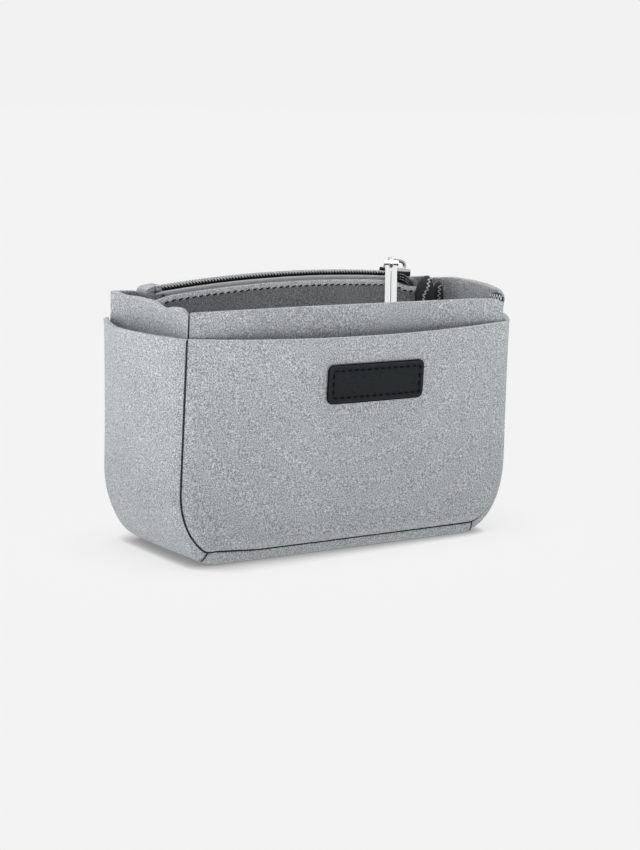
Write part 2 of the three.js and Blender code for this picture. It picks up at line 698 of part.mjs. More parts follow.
const tabMesh = addPiece(insert, 'zip_end_tab', tab(), felt);
tabMesh.position.copy(zipPoint(tabAlong, 0, 0));
tabMesh.rotation.y = tabAlong / ZIP_RADIUS;

// Slider: local X along the zip with the mouths at the right, Y across, Z square to the chain
const sliderAlong = alongAt(SLIDER_X);
const slider = new THREE.Group();
slider.position.copy(zipPoint(sliderAlong, 0, 0));
slider.rotation.y = sliderAlong / ZIP_RADIUS;
insert.add(slider);

const TAIL = -SLIDER_LENGTH / 2;
const MOUTH = SLIDER_LENGTH / 2;
const NECK = TAIL * 0.35;
const SHOULDER = MOUTH * 0.35;
const CHANNEL_HALF = COIL_AXIS + COIL_HALF_WIDTH + COIL_WIRE / 2 + SLIDER_CLEARANCE;
const CHANNEL_TOP = COIL_TOP + SLIDER_CLEARANCE;
const FLANGE_BOTTOM = TAPE_TOP + SLIDER_CLEARANCE;
const BOTTOM_PLATE_TOP = TAPE_BOTTOM - SLIDER_CLEARANCE;
const BOTTOM_PLATE_BOTTOM = GAP - FELT_BELOW_CHAIN;
const SLIDER_TOP = CHANNEL_TOP + SLIDER_PLATE;
const BOTTOM_PLATE_HALF = TAPE_OUTER - TAPE_THICKNESS - GAP;

// Plan of the slider, narrow at the tail and wide at the mouths, grown by a margin.
function sliderPlan(halfWidth, spread, past) {
  const wide = halfWidth + spread;
  return outline([
    [TAIL - past, -halfWidth], [NECK, -halfWidth], [SHOULDER, -wide], [MOUTH + past, -wide],
    [MOUTH + past, wide], [SHOULDER, wide], [NECK, halfWidth], [TAIL - past, halfWidth],
  ]);
}

// Rounds the four end corners of a plan.
function roundedPlan(halfWidth, spread) {
  const radius = SLIDER_CORNER;
  const wide = halfWidth + spread;
  const shape = new THREE.Shape();
  shape.moveTo(TAIL + radius, -halfWidth);
  shape.lineTo(NECK, -halfWidth);
  shape.lineTo(SHOULDER, -wide);
  shape.lineTo(MOUTH - radius, -wide);
  shape.absarc(MOUTH - radius, -wide + radius, radius, -Math.PI / 2, 0, false);
  shape.lineTo(MOUTH, wide - radius);
  shape.absarc(MOUTH - radius, wide - radius, radius, 0, Math.PI / 2, false);
  shape.lineTo(SHOULDER, wide);
  shape.lineTo(NECK, halfWidth);
  shape.lineTo(TAIL + radius, halfWidth);
  shape.absarc(TAIL + radius, halfWidth - radius, radius, Math.PI / 2, Math.PI, false);
  shape.lineTo(TAIL, -halfWidth + radius);
  shape.absarc(TAIL + radius, -halfWidth + radius, radius, Math.PI, Math.PI * 1.5, false);
  return shape;
}

function sliderBody() {
  const past = 1;
  const outside = roundedPlan(CHANNEL_HALF + SLIDER_WALL, SHOULDER_SPREAD);
  const inside = sliderPlan(CHANNEL_HALF, SHOULDER_SPREAD, past);
  const shell = toSolid(raised(outside, FLANGE_BOTTOM, SLIDER_TOP));
  const channel = toSolid(raised(inside, FLANGE_BOTTOM - past, CHANNEL_TOP));
  const plate = toSolid(raised(roundedPlan(BOTTOM_PLATE_HALF, 0), BOTTOM_PLATE_BOTTOM, BOTTOM_PLATE_TOP));
  const wedgeStart = MOUTH - WEDGE_LENGTH - SLIDER_WALL;
  const wedge = toSolid(raised(outline([
    [wedgeStart, 0], [wedgeStart + WEDGE_LENGTH * 0.55, -WEDGE_HALF_WIDTH],
    [wedgeStart + WEDGE_LENGTH, -WEDGE_HALF_WIDTH * 0.6], [wedgeStart + WEDGE_LENGTH, WEDGE_HALF_WIDTH * 0.6],
    [wedgeStart + WEDGE_LENGTH * 0.55, WEDGE_HALF_WIDTH],
  ]), BOTTOM_PLATE_BOTTOM, SLIDER_TOP));
  return toGeometry(shell.subtract(channel).add(wedge).add(plate));
}
addPiece(slider, 'slider_body', sliderBody(), polishedMetal);

// Crown: a flat-topped arch over the slider that the link passes under
function crownCurve(halfLength, height, steps) {
  const points = [];
  for (let i = 0; i <= steps; i += 1) {
    const angle = Math.PI * (1 - i / steps);
    const x = Math.sign(Math.cos(angle)) * Math.abs(Math.cos(angle)) ** (2 / 3) * halfLength;
    points.push([x, Math.sin(angle) ** (2 / 3) * height]);
  }
  return points;
}

const CROWN_BASE = SLIDER_TOP + GAP;
const crownRise = CROWN_HEIGHT - GAP;
const crownShape = outline([
  ...crownCurve(CROWN_HALF_LENGTH, crownRise, 14),
  ...crownCurve(CROWN_HALF_LENGTH - CROWN_THICKNESS, crownRise - CROWN_THICKNESS, 14).reverse(),
]);
const crown = addPiece(slider, 'slider_crown', upright(crownShape, CROWN_WIDTH), polishedMetal);
crown.position.z = CROWN_BASE;

// Pull: the link turns about the crown's strap, and the bar's barrel turns in the other end of the link
const strapHeight = crownRise * (1 - (LINK_SEAT / CROWN_HALF_LENGTH) ** 3) ** (1 / 3) - CROWN_THICKNESS / 2;
const linkPivot = new THREE.Vector3(-LINK_SEAT, 0, CROWN_BASE + strapHeight - LINK_SAG);
const pull = new THREE.Group();
pull.name = 'pull_link_pivot';
pull.position.copy(linkPivot.applyEuler(slider.rotation).add(slider.position));
pull.rotation.z = degToRad(LINK_YAW);
insert.add(pull);

// Round-ended loop in local Y and Z from one centre to another, as a strip with a width along X.
function linkLoop() {
  const loop = (radius) => {
    const path = new THREE.Path();
    path.absarc(0, 0, radius, -Math.PI / 2, Math.PI / 2, false);
    path.lineTo(-LINK_REACH, radius);
    path.absarc(-LINK_REACH, 0, radius, Math.PI / 2, Math.PI * 1.5, false);
    path.lineTo(0, -radius);
    return path;
  };
  const shape = new THREE.Shape(loop(LINK_RADIUS + LINK_STRIP / 2).getPoints(8));
  shape.holes.push(new THREE.Path(loop(LINK_RADIUS - LINK_STRIP / 2).getPoints(8)));
  const geometry = new THREE.ExtrudeGeometry(shape, { ...PLAIN_EXTRUSION, depth: LINK_WIDTH });
  const axes = new THREE.Matrix4().makeBasis(
    new THREE.Vector3(0, 1, 0),
    new THREE.Vector3(0, 0, 1),
    new THREE.Vector3(1, 0, 0),
  );
  return geometry.applyMatrix4(axes).translate(-LINK_WIDTH / 2, 0, 0);
}
addPiece(pull, 'pull_link', linkLoop(), polishedMetal);

// Bar: a barrel in the free end of the link, and a plate below it that is slotted for the link and grooved
const barHang = new THREE.Group();
barHang.name = 'pull_bar_pivot';
barHang.position.y = -LINK_REACH;
barHang.rotation.x = -degToRad(BAR_TILT);
pull.add(barHang);

function roundBar(radius, length) {
  return new THREE.CylinderGeometry(radius, radius, length, 20).rotateZ(Math.PI / 2);
}

function bar() {
  const slotHeight = LINK_STRIP + 2 * GAP;
  const slotWidth = LINK_WIDTH + 2 * GAP;
  const lobeLength = (BARREL_LENGTH - slotWidth) / 2;
  const lobe = (end) => {
    const middle = end * (slotWidth + lobeLength) / 2;
    return toSolid(roundBar(BARREL_RADIUS, lobeLength).translate(middle, 0, 0));
  };
  const plate = toSolid(upright(roundedRectangle(BAR_WIDTH, BAR_LENGTH, BAR_CORNER), BAR_THICKNESS)
    .translate(0, 0, -BAR_LENGTH / 2));
  const slotBox = new THREE.BoxGeometry(slotWidth, BAR_THICKNESS * 2, slotHeight);
  const slot = toSolid(slotBox.translate(0, 0, -LINK_RADIUS));
  const grooveTop = -LINK_RADIUS - slotHeight / 2 - BAR_PLAIN;
  const grooveBottom = BAR_PLAIN - BAR_LENGTH;
  const grooveLength = grooveTop - grooveBottom;
  const groove = (face) => {
    const box = new THREE.BoxGeometry(BAR_GROOVE, BAR_GROOVE_DEPTH * 2, grooveLength);
    return toSolid(box.translate(0, face * BAR_THICKNESS / 2, (grooveTop + grooveBottom) / 2));
  };
  const grooved = plate.subtract(slot).subtract(groove(-1)).subtract(groove(1));
  return toGeometry(grooved.add(toSolid(roundBar(BARREL_NECK, slotWidth + GAP))).add(lobe(-1)).add(lobe(1)));
}
addPiece(barHang, 'pull_bar', bar(), polishedMetal);

// Origin: middle of the outline on the floor
const bounds = new THREE.Box3().setFromObject(insert);
const middle = bounds.getCenter(new THREE.Vector3());
insert.position.set(-middle.x, -middle.y, -bounds.min.z);

export default insert;
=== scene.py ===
"""Looks of a felt purse organizer insert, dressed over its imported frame. Shapes are in millimetres."""
import math

import bpy
import numpy as np
from mathutils import Matrix, Vector


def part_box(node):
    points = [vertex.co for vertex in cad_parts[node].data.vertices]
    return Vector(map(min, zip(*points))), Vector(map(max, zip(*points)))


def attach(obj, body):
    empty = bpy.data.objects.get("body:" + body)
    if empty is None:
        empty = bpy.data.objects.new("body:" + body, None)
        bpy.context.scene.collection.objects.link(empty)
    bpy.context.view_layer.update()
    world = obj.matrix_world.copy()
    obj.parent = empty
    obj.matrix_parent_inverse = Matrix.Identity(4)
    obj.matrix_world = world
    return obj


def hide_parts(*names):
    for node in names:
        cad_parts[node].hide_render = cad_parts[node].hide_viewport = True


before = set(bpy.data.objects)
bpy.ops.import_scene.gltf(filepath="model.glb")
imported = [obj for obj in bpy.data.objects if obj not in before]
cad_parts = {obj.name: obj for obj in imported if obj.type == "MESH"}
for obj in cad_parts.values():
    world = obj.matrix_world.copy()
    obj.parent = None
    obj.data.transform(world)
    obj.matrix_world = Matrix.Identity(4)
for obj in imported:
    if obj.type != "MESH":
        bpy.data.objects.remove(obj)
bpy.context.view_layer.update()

# Felt box: the sizes of its solids, with the bows and the spread of the back
WIDTH, DEPTH, HEIGHT = 160, 59, 103
MOUTH_HEIGHT, MOUTH_DIP = 92.6, 2.2
FELT, GAP = 2.4, 0.3
SEAM_LIFT, CORNER_RUN, CORNER_RISE = 5.8, 18.8, 26
FLARE, BACK_SPREAD = 1.6, 2.3
EDGE_ROLL, EDGE_SHARE = 3.5, 0.35
END_CREST, BACK_CORNER_RISE = 0.8, 2.2
FRONT_POCKET_BOW, BACK_POCKET_BOW, FRONT_PANEL_BOW = 4, 6, -2.6
LEFT_PANEL_BOW, RIGHT_PANEL_BOW, LOW_PANEL_BOW = -2.5, 8, 2.5
LEFT_POCKET_BOW, LEFT_LOW_POCKET_BOW = 9, 2.4
RIGHT_POCKET_BOW, RIGHT_LOW_POCKET_BOW, RIGHT_POCKET_GATHER = 14.5, 6, 1.25

# Zip
ZIP_RADIUS, ZIP_CREST_X, ZIP_RISE = 640, 9, 7.6
ZIP_LEFT_INSET, SLIDER_INSET, SLIDER_LENGTH = 16, 22.5, 13
TAPE_THICKNESS, TAPE_INNER, TAPE_OUTER, TAPE_SKIRT = 0.5, 1.75, 4.85, 7.5
FELT_BELOW_CHAIN, FELT_END_DROP, ZIP_PANEL_STRAIGHT = 3, 1.7, 0.9
COIL_PITCH, COIL_WIRE, SOLID_COIL_WIRE, COIL_END_GAP = 1.5, 0.6, 0.78, 0.27
COIL_AXIS, COIL_HALF_WIDTH, COIL_HALF_HEIGHT, COIL_LIFT = 1.15, 1.6, 0.55, -0.15
TAB_LENGTH, TAB_HALF_WIDTH, TAPE_IN_TAB = 7.5, 4.2, 3.6

# Patch
PATCH_LENGTH, PATCH_HEIGHT, PATCH_THICKNESS, PATCH_CORNER = 48.4, 15.5, 1.2, 2.4
PATCH_X, PATCH_Z, PATCH_STITCH_INSET = 6.8, 71.4, 2.2

# Details that only the looks have
FRONT_RIM_SINK, FRONT_RIGHT_DROP, FRONT_RIGHT_RUN = 0.55, 2.2, 8
LEFT_CORNER_DROP, RIGHT_CORNER_DROP, END_CORNER_RUN = 2.8, 2.2, 8
RIGHT_RIM_LIFT, RIGHT_RIM_SWELL = 0.2, 1.2
BACK_LEFT_X, BACK_LEFT_TOP, BACK_RIGHT_X, BACK_RIGHT_TOP = -66, 105, 60, 106
WAIST_IN, WAIST_Z, WAIST_SPREAD, CORNER_PINCH = 1.2, 96, 4.5, 1.8
BASE_ROLL, CROSS_SEAM_TURN = 2.8, {-1: 0.8, 1: 0.9}
WAVE, POCKET_PHASE, ZIP_PANEL_PHASE = 0.22, 1.9, 0.8
STITCH_PITCH, TOPSTITCH_DROP, TOPSTITCH_SINK, STRIP_LEAN = 3.3, 2.1, 0.12, 1.75
PUCKER_X, PUCKER_LIFT = (-75, -70.5, -65, -57, -46), (0, -0.4, 1.3, 0.8, 0)
LEFT_BROAD_SAG, LEFT_SAGS = 0.95, ((1.9, -0.25, 0.17), (0.7, 0.75, 0.2), (-0.4, -0.8, 0.15))

# Radii of threads, lengths and radii of stitches, and where the topstitching runs
SEAM_THREAD, FRONT_CORNER_THREAD, BACK_CORNER_THREAD, CROSS_SEAM_THREAD = 0.44, 0.3, 0.5, 0.26
LEAF_ZIGZAG, FLAP_ZIGZAG, CORNER_ZIGZAG, PATCH_EDGE, END_THREAD = 0.24, 0.2, 0.15, 0.34, 0.2
PATCH_STITCH, TOPSTITCH, TACK_STITCH, TOPSTITCH_SPAN = (2.3, 0.36), (2.4, 0.32), (0.7, 0.19), (-67, 68)

HALF_WIDTH, HALF_DEPTH = WIDTH / 2, DEPTH / 2
CORNER_TOP = SEAM_LIFT + CORNER_RISE
STRAIGHT = HEIGHT - CORNER_TOP
BASE_HALF = HALF_WIDTH + FLARE - CORNER_RUN
MITRE = GAP * 2 / 3
INNER_FACE = GAP + FELT
ZIP_CREST_Z = HEIGHT + ZIP_RISE
ZIP_Y = HALF_DEPTH - INNER_FACE - GAP - TAPE_OUTER
COIL_LEFT = ZIP_LEFT_INSET - HALF_WIDTH
SLIDER_X = HALF_WIDTH - SLIDER_INSET
TAB_RIGHT = COIL_LEFT - GAP
TAPE_TOP = COIL_LIFT - COIL_HALF_HEIGHT - SOLID_COIL_WIRE / 2 - GAP / 2
TAPE_BOTTOM = TAPE_TOP - TAPE_THICKNESS

# Layers as depths inside the seam surface: outer face, inner face, outer face at a sewn edge
OUTER_LAYER = (-FELT, 0, -FELT * EDGE_SHARE)
INNER_LAYER = (GAP, INNER_FACE, GAP)
ZIP_LAYER = (INNER_FACE + GAP, INNER_FACE + GAP + FELT, INNER_FACE + GAP)

MM = 0.001
base_low, base_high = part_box("base_panel")
SHIFT = np.array([(base_low[0] + base_high[0]) / 2 / MM, (base_low[1] + base_high[1]) / 2 / MM, 0])


# Small helpers

def lerp(a, b, t):
    return a + (b - a) * t


def smoothstep(value, low, high):
    t = np.clip((value - low) / (high - low), 0, 1)
    return t * t * (3 - 2 * t)


def hump(value, place, spread):
    return np.exp(-((value - place) / spread) ** 2)


def xyz(x, y, z):
    """Points from their three coordinates, any of which may be shared by all."""
    return np.stack(np.broadcast_arrays(x, y, z), -1)


def moved(points, axis, amount):
    """Copy of the points, moved along one axis."""
    points = np.array(points, float)
    points[..., axis] += amount
    return points


def pucker(points):
    """Lifts the bottom seam a little beside the front left corner."""
    x, y, z = points.T
    lift = np.interp(x, PUCKER_X, PUCKER_LIFT)
    return moved(points, 2, lift * smoothstep(-y, 14, 28) * np.interp(z, (0, 5, 9, 22), (0, 1, 1, 0)))


def to_row(points):
    return (np.asarray(points, float) + SHIFT) * MM


def signed_volume(points, faces):
    total = 0.0
    for face in faces:
        first = points[face[0]]
        for i in range(1, len(face) - 1):
            total += np.dot(first, np.cross(points[face[i]], points[face[i + 1]]))
    return total


def add_object(name, data):
    obj = bpy.data.objects.new(name, data)
    bpy.context.collection.objects.link(obj)
    return obj


def bevel(obj, width):
    edges = obj.modifiers.new("rounded_edges", "BEVEL")
    edges.width = width
    edges.segments = 3


def piece(name, points, faces, material, slot, body="insert", stands_for=(), levels=0):
    """Closed mesh with its faces outwards, riding on a body."""
    points = pucker(np.asarray(points, float))
    if signed_volume(points, faces) < 0:
        faces = [tuple(reversed(face)) for face in faces]
    mesh = bpy.data.meshes.new(name)
    mesh.from_pydata(to_row(points).tolist(), [], faces)
    mesh.polygons.foreach_set("use_smooth", [True] * len(mesh.polygons))
    mesh.materials.append(material)
    mesh.update()
    obj = add_object(name, mesh)
    if levels:
        rounding = obj.modifiers.new("rounding", "SUBSURF")
        rounding.levels = levels
        rounding.render_levels = levels
    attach(obj, body)
    if stands_for:
        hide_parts(*stands_for)
    return obj


def sheet_between(outer, inner):
    """Points and faces of a sheet between two grids of points, closed along its rim."""
    rows, columns = outer.shape[:2]
    under = rows * columns
    index = np.arange(under).reshape(rows, columns)
    a, b, c, d = index[:-1, :-1], index[:-1, 1:], index[1:, 1:], index[1:, :-1]
    quads = np.stack([a, b, c, d], -1).reshape(-1, 4)
    faces = [tuple(quad) for quad in quads.tolist()]
    faces += [tuple(reversed([corner + under for corner in quad])) for quad in quads.tolist()]
    rim = [*index[0, :-1], *index[:-1, -1], *index[-1, :0:-1], *index[:0:-1, 0]]
    for i, start in enumerate(rim):
        end = rim[(i + 1) % len(rim)]
        faces.append((int(end), int(start), int(start) + under, int(end) + under))
    return np.concatenate([outer.reshape(-1, 3), inner.reshape(-1, 3)]), faces


def loft(rings, closed=False):
    """Points and faces of a bar through rings of points, capped at its ends or closed into a loop."""
    rings = np.asarray(rings, float)
    count, sides = rings.shape[:2]
    faces = []
    for ring in range(count if closed else count - 1):
        here, there = ring * sides, (ring + 1) % count * sides
        for side in range(sides):
            beside = (side + 1) % sides
            faces.append((here + side, here + beside, there + beside, there + side))
    if not closed:
        faces.append(tuple(reversed(range(sides))))
        faces.append(tuple((count - 1) * sides + side for side in range(sides)))
    return rings.reshape(-1, 3), faces


def unit(vectors):
    return vectors / np.linalg.norm(vectors, axis=1, keepdims=True)


def tube(path, radius, sides=8, closed=False):
    """Points and faces of a tube along a path; the radius may change along it."""
    path = np.asarray(path, float)
    radii = np.broadcast_to(radius, len(path))
    heading = unit(np.roll(path, -1, 0) - np.roll(path, 1, 0) if closed else np.gradient(path, axis=0))
    normal = np.cross(heading[0], (0.3, 0.5, 0.8))
    angles = np.arange(sides) / sides * 2 * math.pi
    rings = []
    for point, along, size in zip(path, heading, radii):
        normal = normal - along * np.dot(normal, along)
        normal /= np.linalg.norm(normal)
        side = np.cross(along, normal)
        rings.append(point + size * (np.outer(np.cos(angles), normal) + np.outer(np.sin(angles), side)))
    return loft(rings, closed)


def join(shapes):
    """Several sets of points and faces as one."""
    points, faces, start = [], [], 0
    for shape_points, shape_faces in shapes:
        points.append(shape_points)
        faces += [tuple(corner + start for corner in face) for face in shape_faces]
        start += len(shape_points)
    return np.concatenate(points), faces


def stitches(centres, headings, normal, length, radius):
    """Points and faces of a row of stitches: short round-ended threads that dip in at both ends."""
    shares = np.linspace(-1, 1, 7)
    bend = np.outer(radius * (1 - 2.2 * shares ** 2), normal)
    radii = radius * np.sqrt(np.clip(1.04 - shares ** 4, 0, 1))
    return join([tube(centre + np.outer(shares * length / 2, heading) + bend, radii, sides=6)
                 for centre, heading in zip(centres, headings)])


# Seam curve: the open-topped outline of the box in X and Z, shared by all walls

def half_width(z, to_back):
    risen = (z - CORNER_TOP) / STRAIGHT
    return HALF_WIDTH + FLARE * (1 - risen) + BACK_SPREAD * to_back * risen


def seam_station(top, fall, turn, to_back):
    """Place and outward normal on the seam: fall runs down the straight side, turn round the corner."""
    z = lerp(top, CORNER_TOP, fall)
    angle = turn * math.pi / 2
    nx, nz = np.cos(angle) / CORNER_RUN, -np.sin(angle) / CORNER_RISE
    size = np.hypot(nx, nz)
    straight = turn == 0
    x = np.where(straight, half_width(z, to_back), BASE_HALF + CORNER_RUN * np.cos(angle))
    return x, np.where(straight, z, CORNER_TOP - CORNER_RISE * np.sin(angle)), nx / size, nz / size


def sheet_rows(last_turn=1.0):
    """Fall and turn of a sheet's rows, closer together at its free edge."""
    straight = np.array([0, 0.4, 0.9, 1.5, 2.1, 2.7, 3.4, 4.6, 8, 13, 20, 28, 37, 46, 55, 63, STRAIGHT])
    corner = np.linspace(0, last_turn, 17)[1:]
    fall = np.concatenate([straight / straight[-1], np.ones(len(corner))])
    return fall[:, None], np.concatenate([np.zeros(len(straight)), corner])[:, None]


def edge_shares(reach, cells):
    """Shares from -1 to 1, closer together along both edges."""
    near = np.array([0, 0.5, 1.2, 2.2, EDGE_ROLL])
    middle = np.linspace(EDGE_ROLL, 2 * reach - EDGE_ROLL, cells + 1)[1:-1]
    distance = np.concatenate([near, middle, 2 * reach - near[::-1]])
    return (distance / reach - 1)[None, :]


def wave(u, v, phase):
    """Gentle unevenness of a felt wall."""
    short = np.sin(u / 13 + phase) * np.cos(v / 17 + 2 * phase)
    return WAVE * (short + 0.6 * np.sin(u / 29 - v / 21 + phase))


def fade(fall, turn):
    return np.cos((fall * STRAIGHT + turn * CORNER_RISE) / (STRAIGHT + CORNER_RISE) * math.pi / 2)


def wall_face(side, depth, sewn, top, bow, share, fall, turn, phase=0.0):
    """Points on one face of the front (side -1) or back wall."""
    inset = sewn + MITRE
    edge_x, edge_z, nx, nz = seam_station(top(np.sign(share) * HALF_WIDTH), fall, turn, (1 + side) / 2)
    edge_x, edge_z = edge_x - nx * inset, edge_z - nz * inset
    x = share * edge_x
    z = np.where(turn == 0, lerp(top(x), CORNER_TOP, fall), edge_z)
    to_seam = np.minimum((1 - np.abs(share)) * edge_x, edge_z - SEAM_LIFT - inset)
    sink = lerp(sewn, depth, smoothstep(to_seam, 0, EDGE_ROLL))
    uneven = wave(x, z, phase) * smoothstep(to_seam, 0, 12)
    y = side * (HALF_DEPTH - sink + bow(share, fall, turn) + uneven)
    return xyz(x, y, z)


def end_face(side, depth, sewn, top, bow, share, fall, turn, phase=0.0):
    """Points on one face of an end wall (side -1 left, 1 right), which runs on round the bottom corner."""
    reach = HALF_DEPTH - sewn - MITRE
    x, z, nx, nz = seam_station(top(share), fall, turn, (1 + share) / 2)
    to_seam = (1 - np.abs(share)) * reach
    sink = lerp(sewn, depth, smoothstep(to_seam, 0, EDGE_ROLL))
    uneven = wave(share * reach, z, phase) * smoothstep(to_seam, 0, 12) * (1 - turn)
    out = bow(share, fall, turn) - sink + uneven
    return xyz(side * (x + nx * out), share * reach, z + nz * out)


def bowed_wall(amount):
    return lambda share, fall, turn: amount * (1 - share ** 2) * fade(fall, turn)


def base_bow(share):
    past = np.clip(np.abs(share) * HALF_DEPTH - (HALF_DEPTH - BASE_ROLL), 0, BASE_ROLL)
    return (SEAM_LIFT - FELT) * (1 - (past / BASE_ROLL) ** 3)


def end_bow(top_bow, low_bow, gather=1, base_from=0.3):
    """Bow of an end wall, which turns into the base's from a place in the corner on."""
    def bow(share, fall, turn):
        wall = lerp(top_bow, low_bow, np.sqrt(fall)) * np.clip(1 - share ** 2, 0, 1) ** gather
        return lerp(wall, base_bow(share), smoothstep(turn, base_from, 1))
    return bow


PANEL_BOWS = {-1: end_bow(LEFT_PANEL_BOW, LOW_PANEL_BOW), 1: end_bow(RIGHT_PANEL_BOW, LOW_PANEL_BOW)}
POCKET_BOWS = {-1: end_bow(LEFT_POCKET_BOW, LEFT_LOW_POCKET_BOW),
               1: end_bow(RIGHT_POCKET_BOW, RIGHT_LOW_POCKET_BOW, RIGHT_POCKET_GATHER, -0.1)}


# Zip arc

def along_at(x):
    return ZIP_RADIUS * math.asin((x - ZIP_CREST_X) / ZIP_RADIUS)


def zip_point(along, across, up):
    angle = np.asarray(along) / ZIP_RADIUS
    radius = ZIP_RADIUS + np.asarray(up)
    x = ZIP_CREST_X + radius * np.sin(angle)
    z = ZIP_CREST_Z - ZIP_RADIUS + radius * np.cos(angle)
    return xyz(x, ZIP_Y + np.asarray(across), z)


def zip_edge_height(x):
    """Top edge of the two felt walls that carry the tapes; it drops a little past both ends of the zip."""
    past_left = 0.5 * smoothstep(COIL_LEFT - x, -TAB_LENGTH / 4, TAB_LENGTH / 4)
    past_right = 1.3 * smoothstep(x - SLIDER_X, -7, 3)
    chain = ZIP_CREST_Z - ZIP_RADIUS + np.sqrt(ZIP_RADIUS ** 2 - (x - ZIP_CREST_X) ** 2)
    return chain - FELT_BELOW_CHAIN - FELT_END_DROP * np.maximum(past_left, past_right)


# Materials

def srgb(*values):
    """Linear colour of an 8-bit one."""
    shares = [value / 255 for value in values]
    return tuple(v / 12.92 if v <= 0.04045 else ((v + 0.055) / 1.055) ** 2.4 for v in shares)


def grey(value):
    return (value, value, value)


def feed(tree, socket, value):
    """Links a socket to another one, or sets it to a plain value."""
    if isinstance(value, bpy.types.NodeSocket):
        tree.links.new(value, socket)
    else:
        socket.default_value = (*value, 1) if socket.type == "RGBA" else value


def add_node(tree, kind, settings=(), **inputs):
    node = tree.nodes.new(kind)
    for key, value in dict(settings).items():
        setattr(node, key, value)
    for key, value in inputs.items():
        feed(tree, node.inputs[key.replace("_", " ").title()], value)
    return node


def new_material(name, colour, roughness, metallic=0.0):
    material = bpy.data.materials.new(name)
    material.use_nodes = True
    tree = material.node_tree
    shader = tree.nodes["Principled BSDF"]
    for key, value in (("Base Color", colour), ("Roughness", roughness), ("Metallic", metallic)):
        feed(tree, shader.inputs[key], value)
    return material, tree, shader


def place_of(tree):
    return add_node(tree, "ShaderNodeTexCoord").outputs["Object"]


def noise(tree, place, scale, **settings):
    return add_node(tree, "ShaderNodeTexNoise", vector=place, scale=scale, **settings).outputs["Fac"]


def ramp(tree, value, stops):
    """Colour ramp through (place, colour) stops."""
    node = add_node(tree, "ShaderNodeValToRGB", fac=value)
    elements = node.color_ramp.elements
    for element, (place, colour) in zip(elements, (stops[0], stops[-1])):
        element.position = place
        element.color = (*colour, 1)
    for place, colour in stops[1:-1]:
        element = elements.new(place)
        element.color = (*colour, 1)
    return node.outputs["Color"]


def grey_ramp(tree, value, stops):
    return ramp(tree, value, [(place, grey(tone)) for place, tone in stops])


def mix(tree, share, first, second, blend="MIX"):
    node = add_node(tree, "ShaderNodeMix", {"data_type": "RGBA", "blend_type": blend})
    for index, value in ((0, share), (6, first), (7, second)):
        feed(tree, node.inputs[index], value)
    return node.outputs[2]


def math_node(tree, operation, first, second):
    node = add_node(tree, "ShaderNodeMath", {"operation": operation})
    feed(tree, node.inputs[0], first)
    feed(tree, node.inputs[1], second)
    return node.outputs[0]


def bump(tree, shader, height, distance, strength):
    node = add_node(tree, "ShaderNodeBump", height=height, distance=distance, strength=strength)
    feed(tree, shader.inputs["Normal"], node.outputs["Normal"])


def felt_material(name, dark, middle, light):
    """Speckled grain with lighter strands and broad, faint clouds."""
    material, tree, shader = new_material(name, middle, 0.95)
    place = place_of(tree)
    grain = noise(tree, place, 1900, detail=2.5, roughness=0.62)
    fibre = noise(tree, place, 900, distortion=2.2)
    cloud = noise(tree, place, 45)
    colour = ramp(tree, grain, [(0.33, dark), (0.5, middle), (0.67, light)])
    strands = grey_ramp(tree, fibre, [(0.46, 0), (0.5, 1), (0.54, 0)])
    colour = mix(tree, math_node(tree, "MULTIPLY", strands, 0.15), colour, light)
    shade = grey_ramp(tree, cloud, [(0.3, 0.96), (0.7, 1.03)])
    feed(tree, shader.inputs["Base Color"], mix(tree, 1.0, colour, shade, "MULTIPLY"))
    height = math_node(tree, "ADD", grain, math_node(tree, "MULTIPLY", strands, 0.35))
    bump(tree, shader, height, 0.00035, 0.5)
    feed(tree, shader.inputs["Sheen Weight"], 0.15)
    feed(tree, shader.inputs["Sheen Roughness"], 0.6)
    return material


def woven_material(name, colour, thread, pitch):
    """Plain weave of fine ribs along both axes of the tape."""
    material, tree, shader = new_material(name, colour, 0.85)
    place = place_of(tree)
    scale = 0.314 / (pitch * MM)
    ribs = [add_node(tree, "ShaderNodeTexWave", {"bands_direction": direction}, vector=place, scale=scale,
                     distortion=0.6).outputs["Fac"] for direction in ("X", "Z")]
    weave = math_node(tree, "MAXIMUM", ribs[0], math_node(tree, "MULTIPLY", ribs[1], 0.8))
    shade = math_node(tree, "MULTIPLY", weave, noise(tree, place, 1600))
    feed(tree, shader.inputs["Base Color"], ramp(tree, shade, [(0.15, colour), (0.75, thread)]))
    bump(tree, shader, weave, 0.00012, 0.8)
    return material


def nylon_material(name, colour, light):
    material, tree, shader = new_material(name, colour, 0.35)
    tone = noise(tree, place_of(tree), 700, detail=3)
    feed(tree, shader.inputs["Base Color"], ramp(tree, tone, [(0.35, colour), (0.7, light)]))
    bump(tree, shader, tone, 0.00004, 0.5)
    return material


def leather_material(name, dark, light):
    """Pebbled skin, unevenly worn."""
    material, tree, shader = new_material(name, dark, 0.55)
    feed(tree, shader.inputs["Specular IOR Level"], 0.16)
    place = place_of(tree)
    pebble = add_node(tree, "ShaderNodeTexVoronoi", {"feature": "DISTANCE_TO_EDGE"}, vector=place, scale=1500)
    grain = noise(tree, place, 2400)
    feed(tree, shader.inputs["Base Color"], ramp(tree, grain, [(0.34, dark), (0.68, light)]))
    feed(tree, shader.inputs["Roughness"], grey_ramp(tree, grain, [(0.3, 0.48), (0.7, 0.62)]))
    bump(tree, shader, pebble.outputs["Distance"], 0.00012, 0.5)
    return material


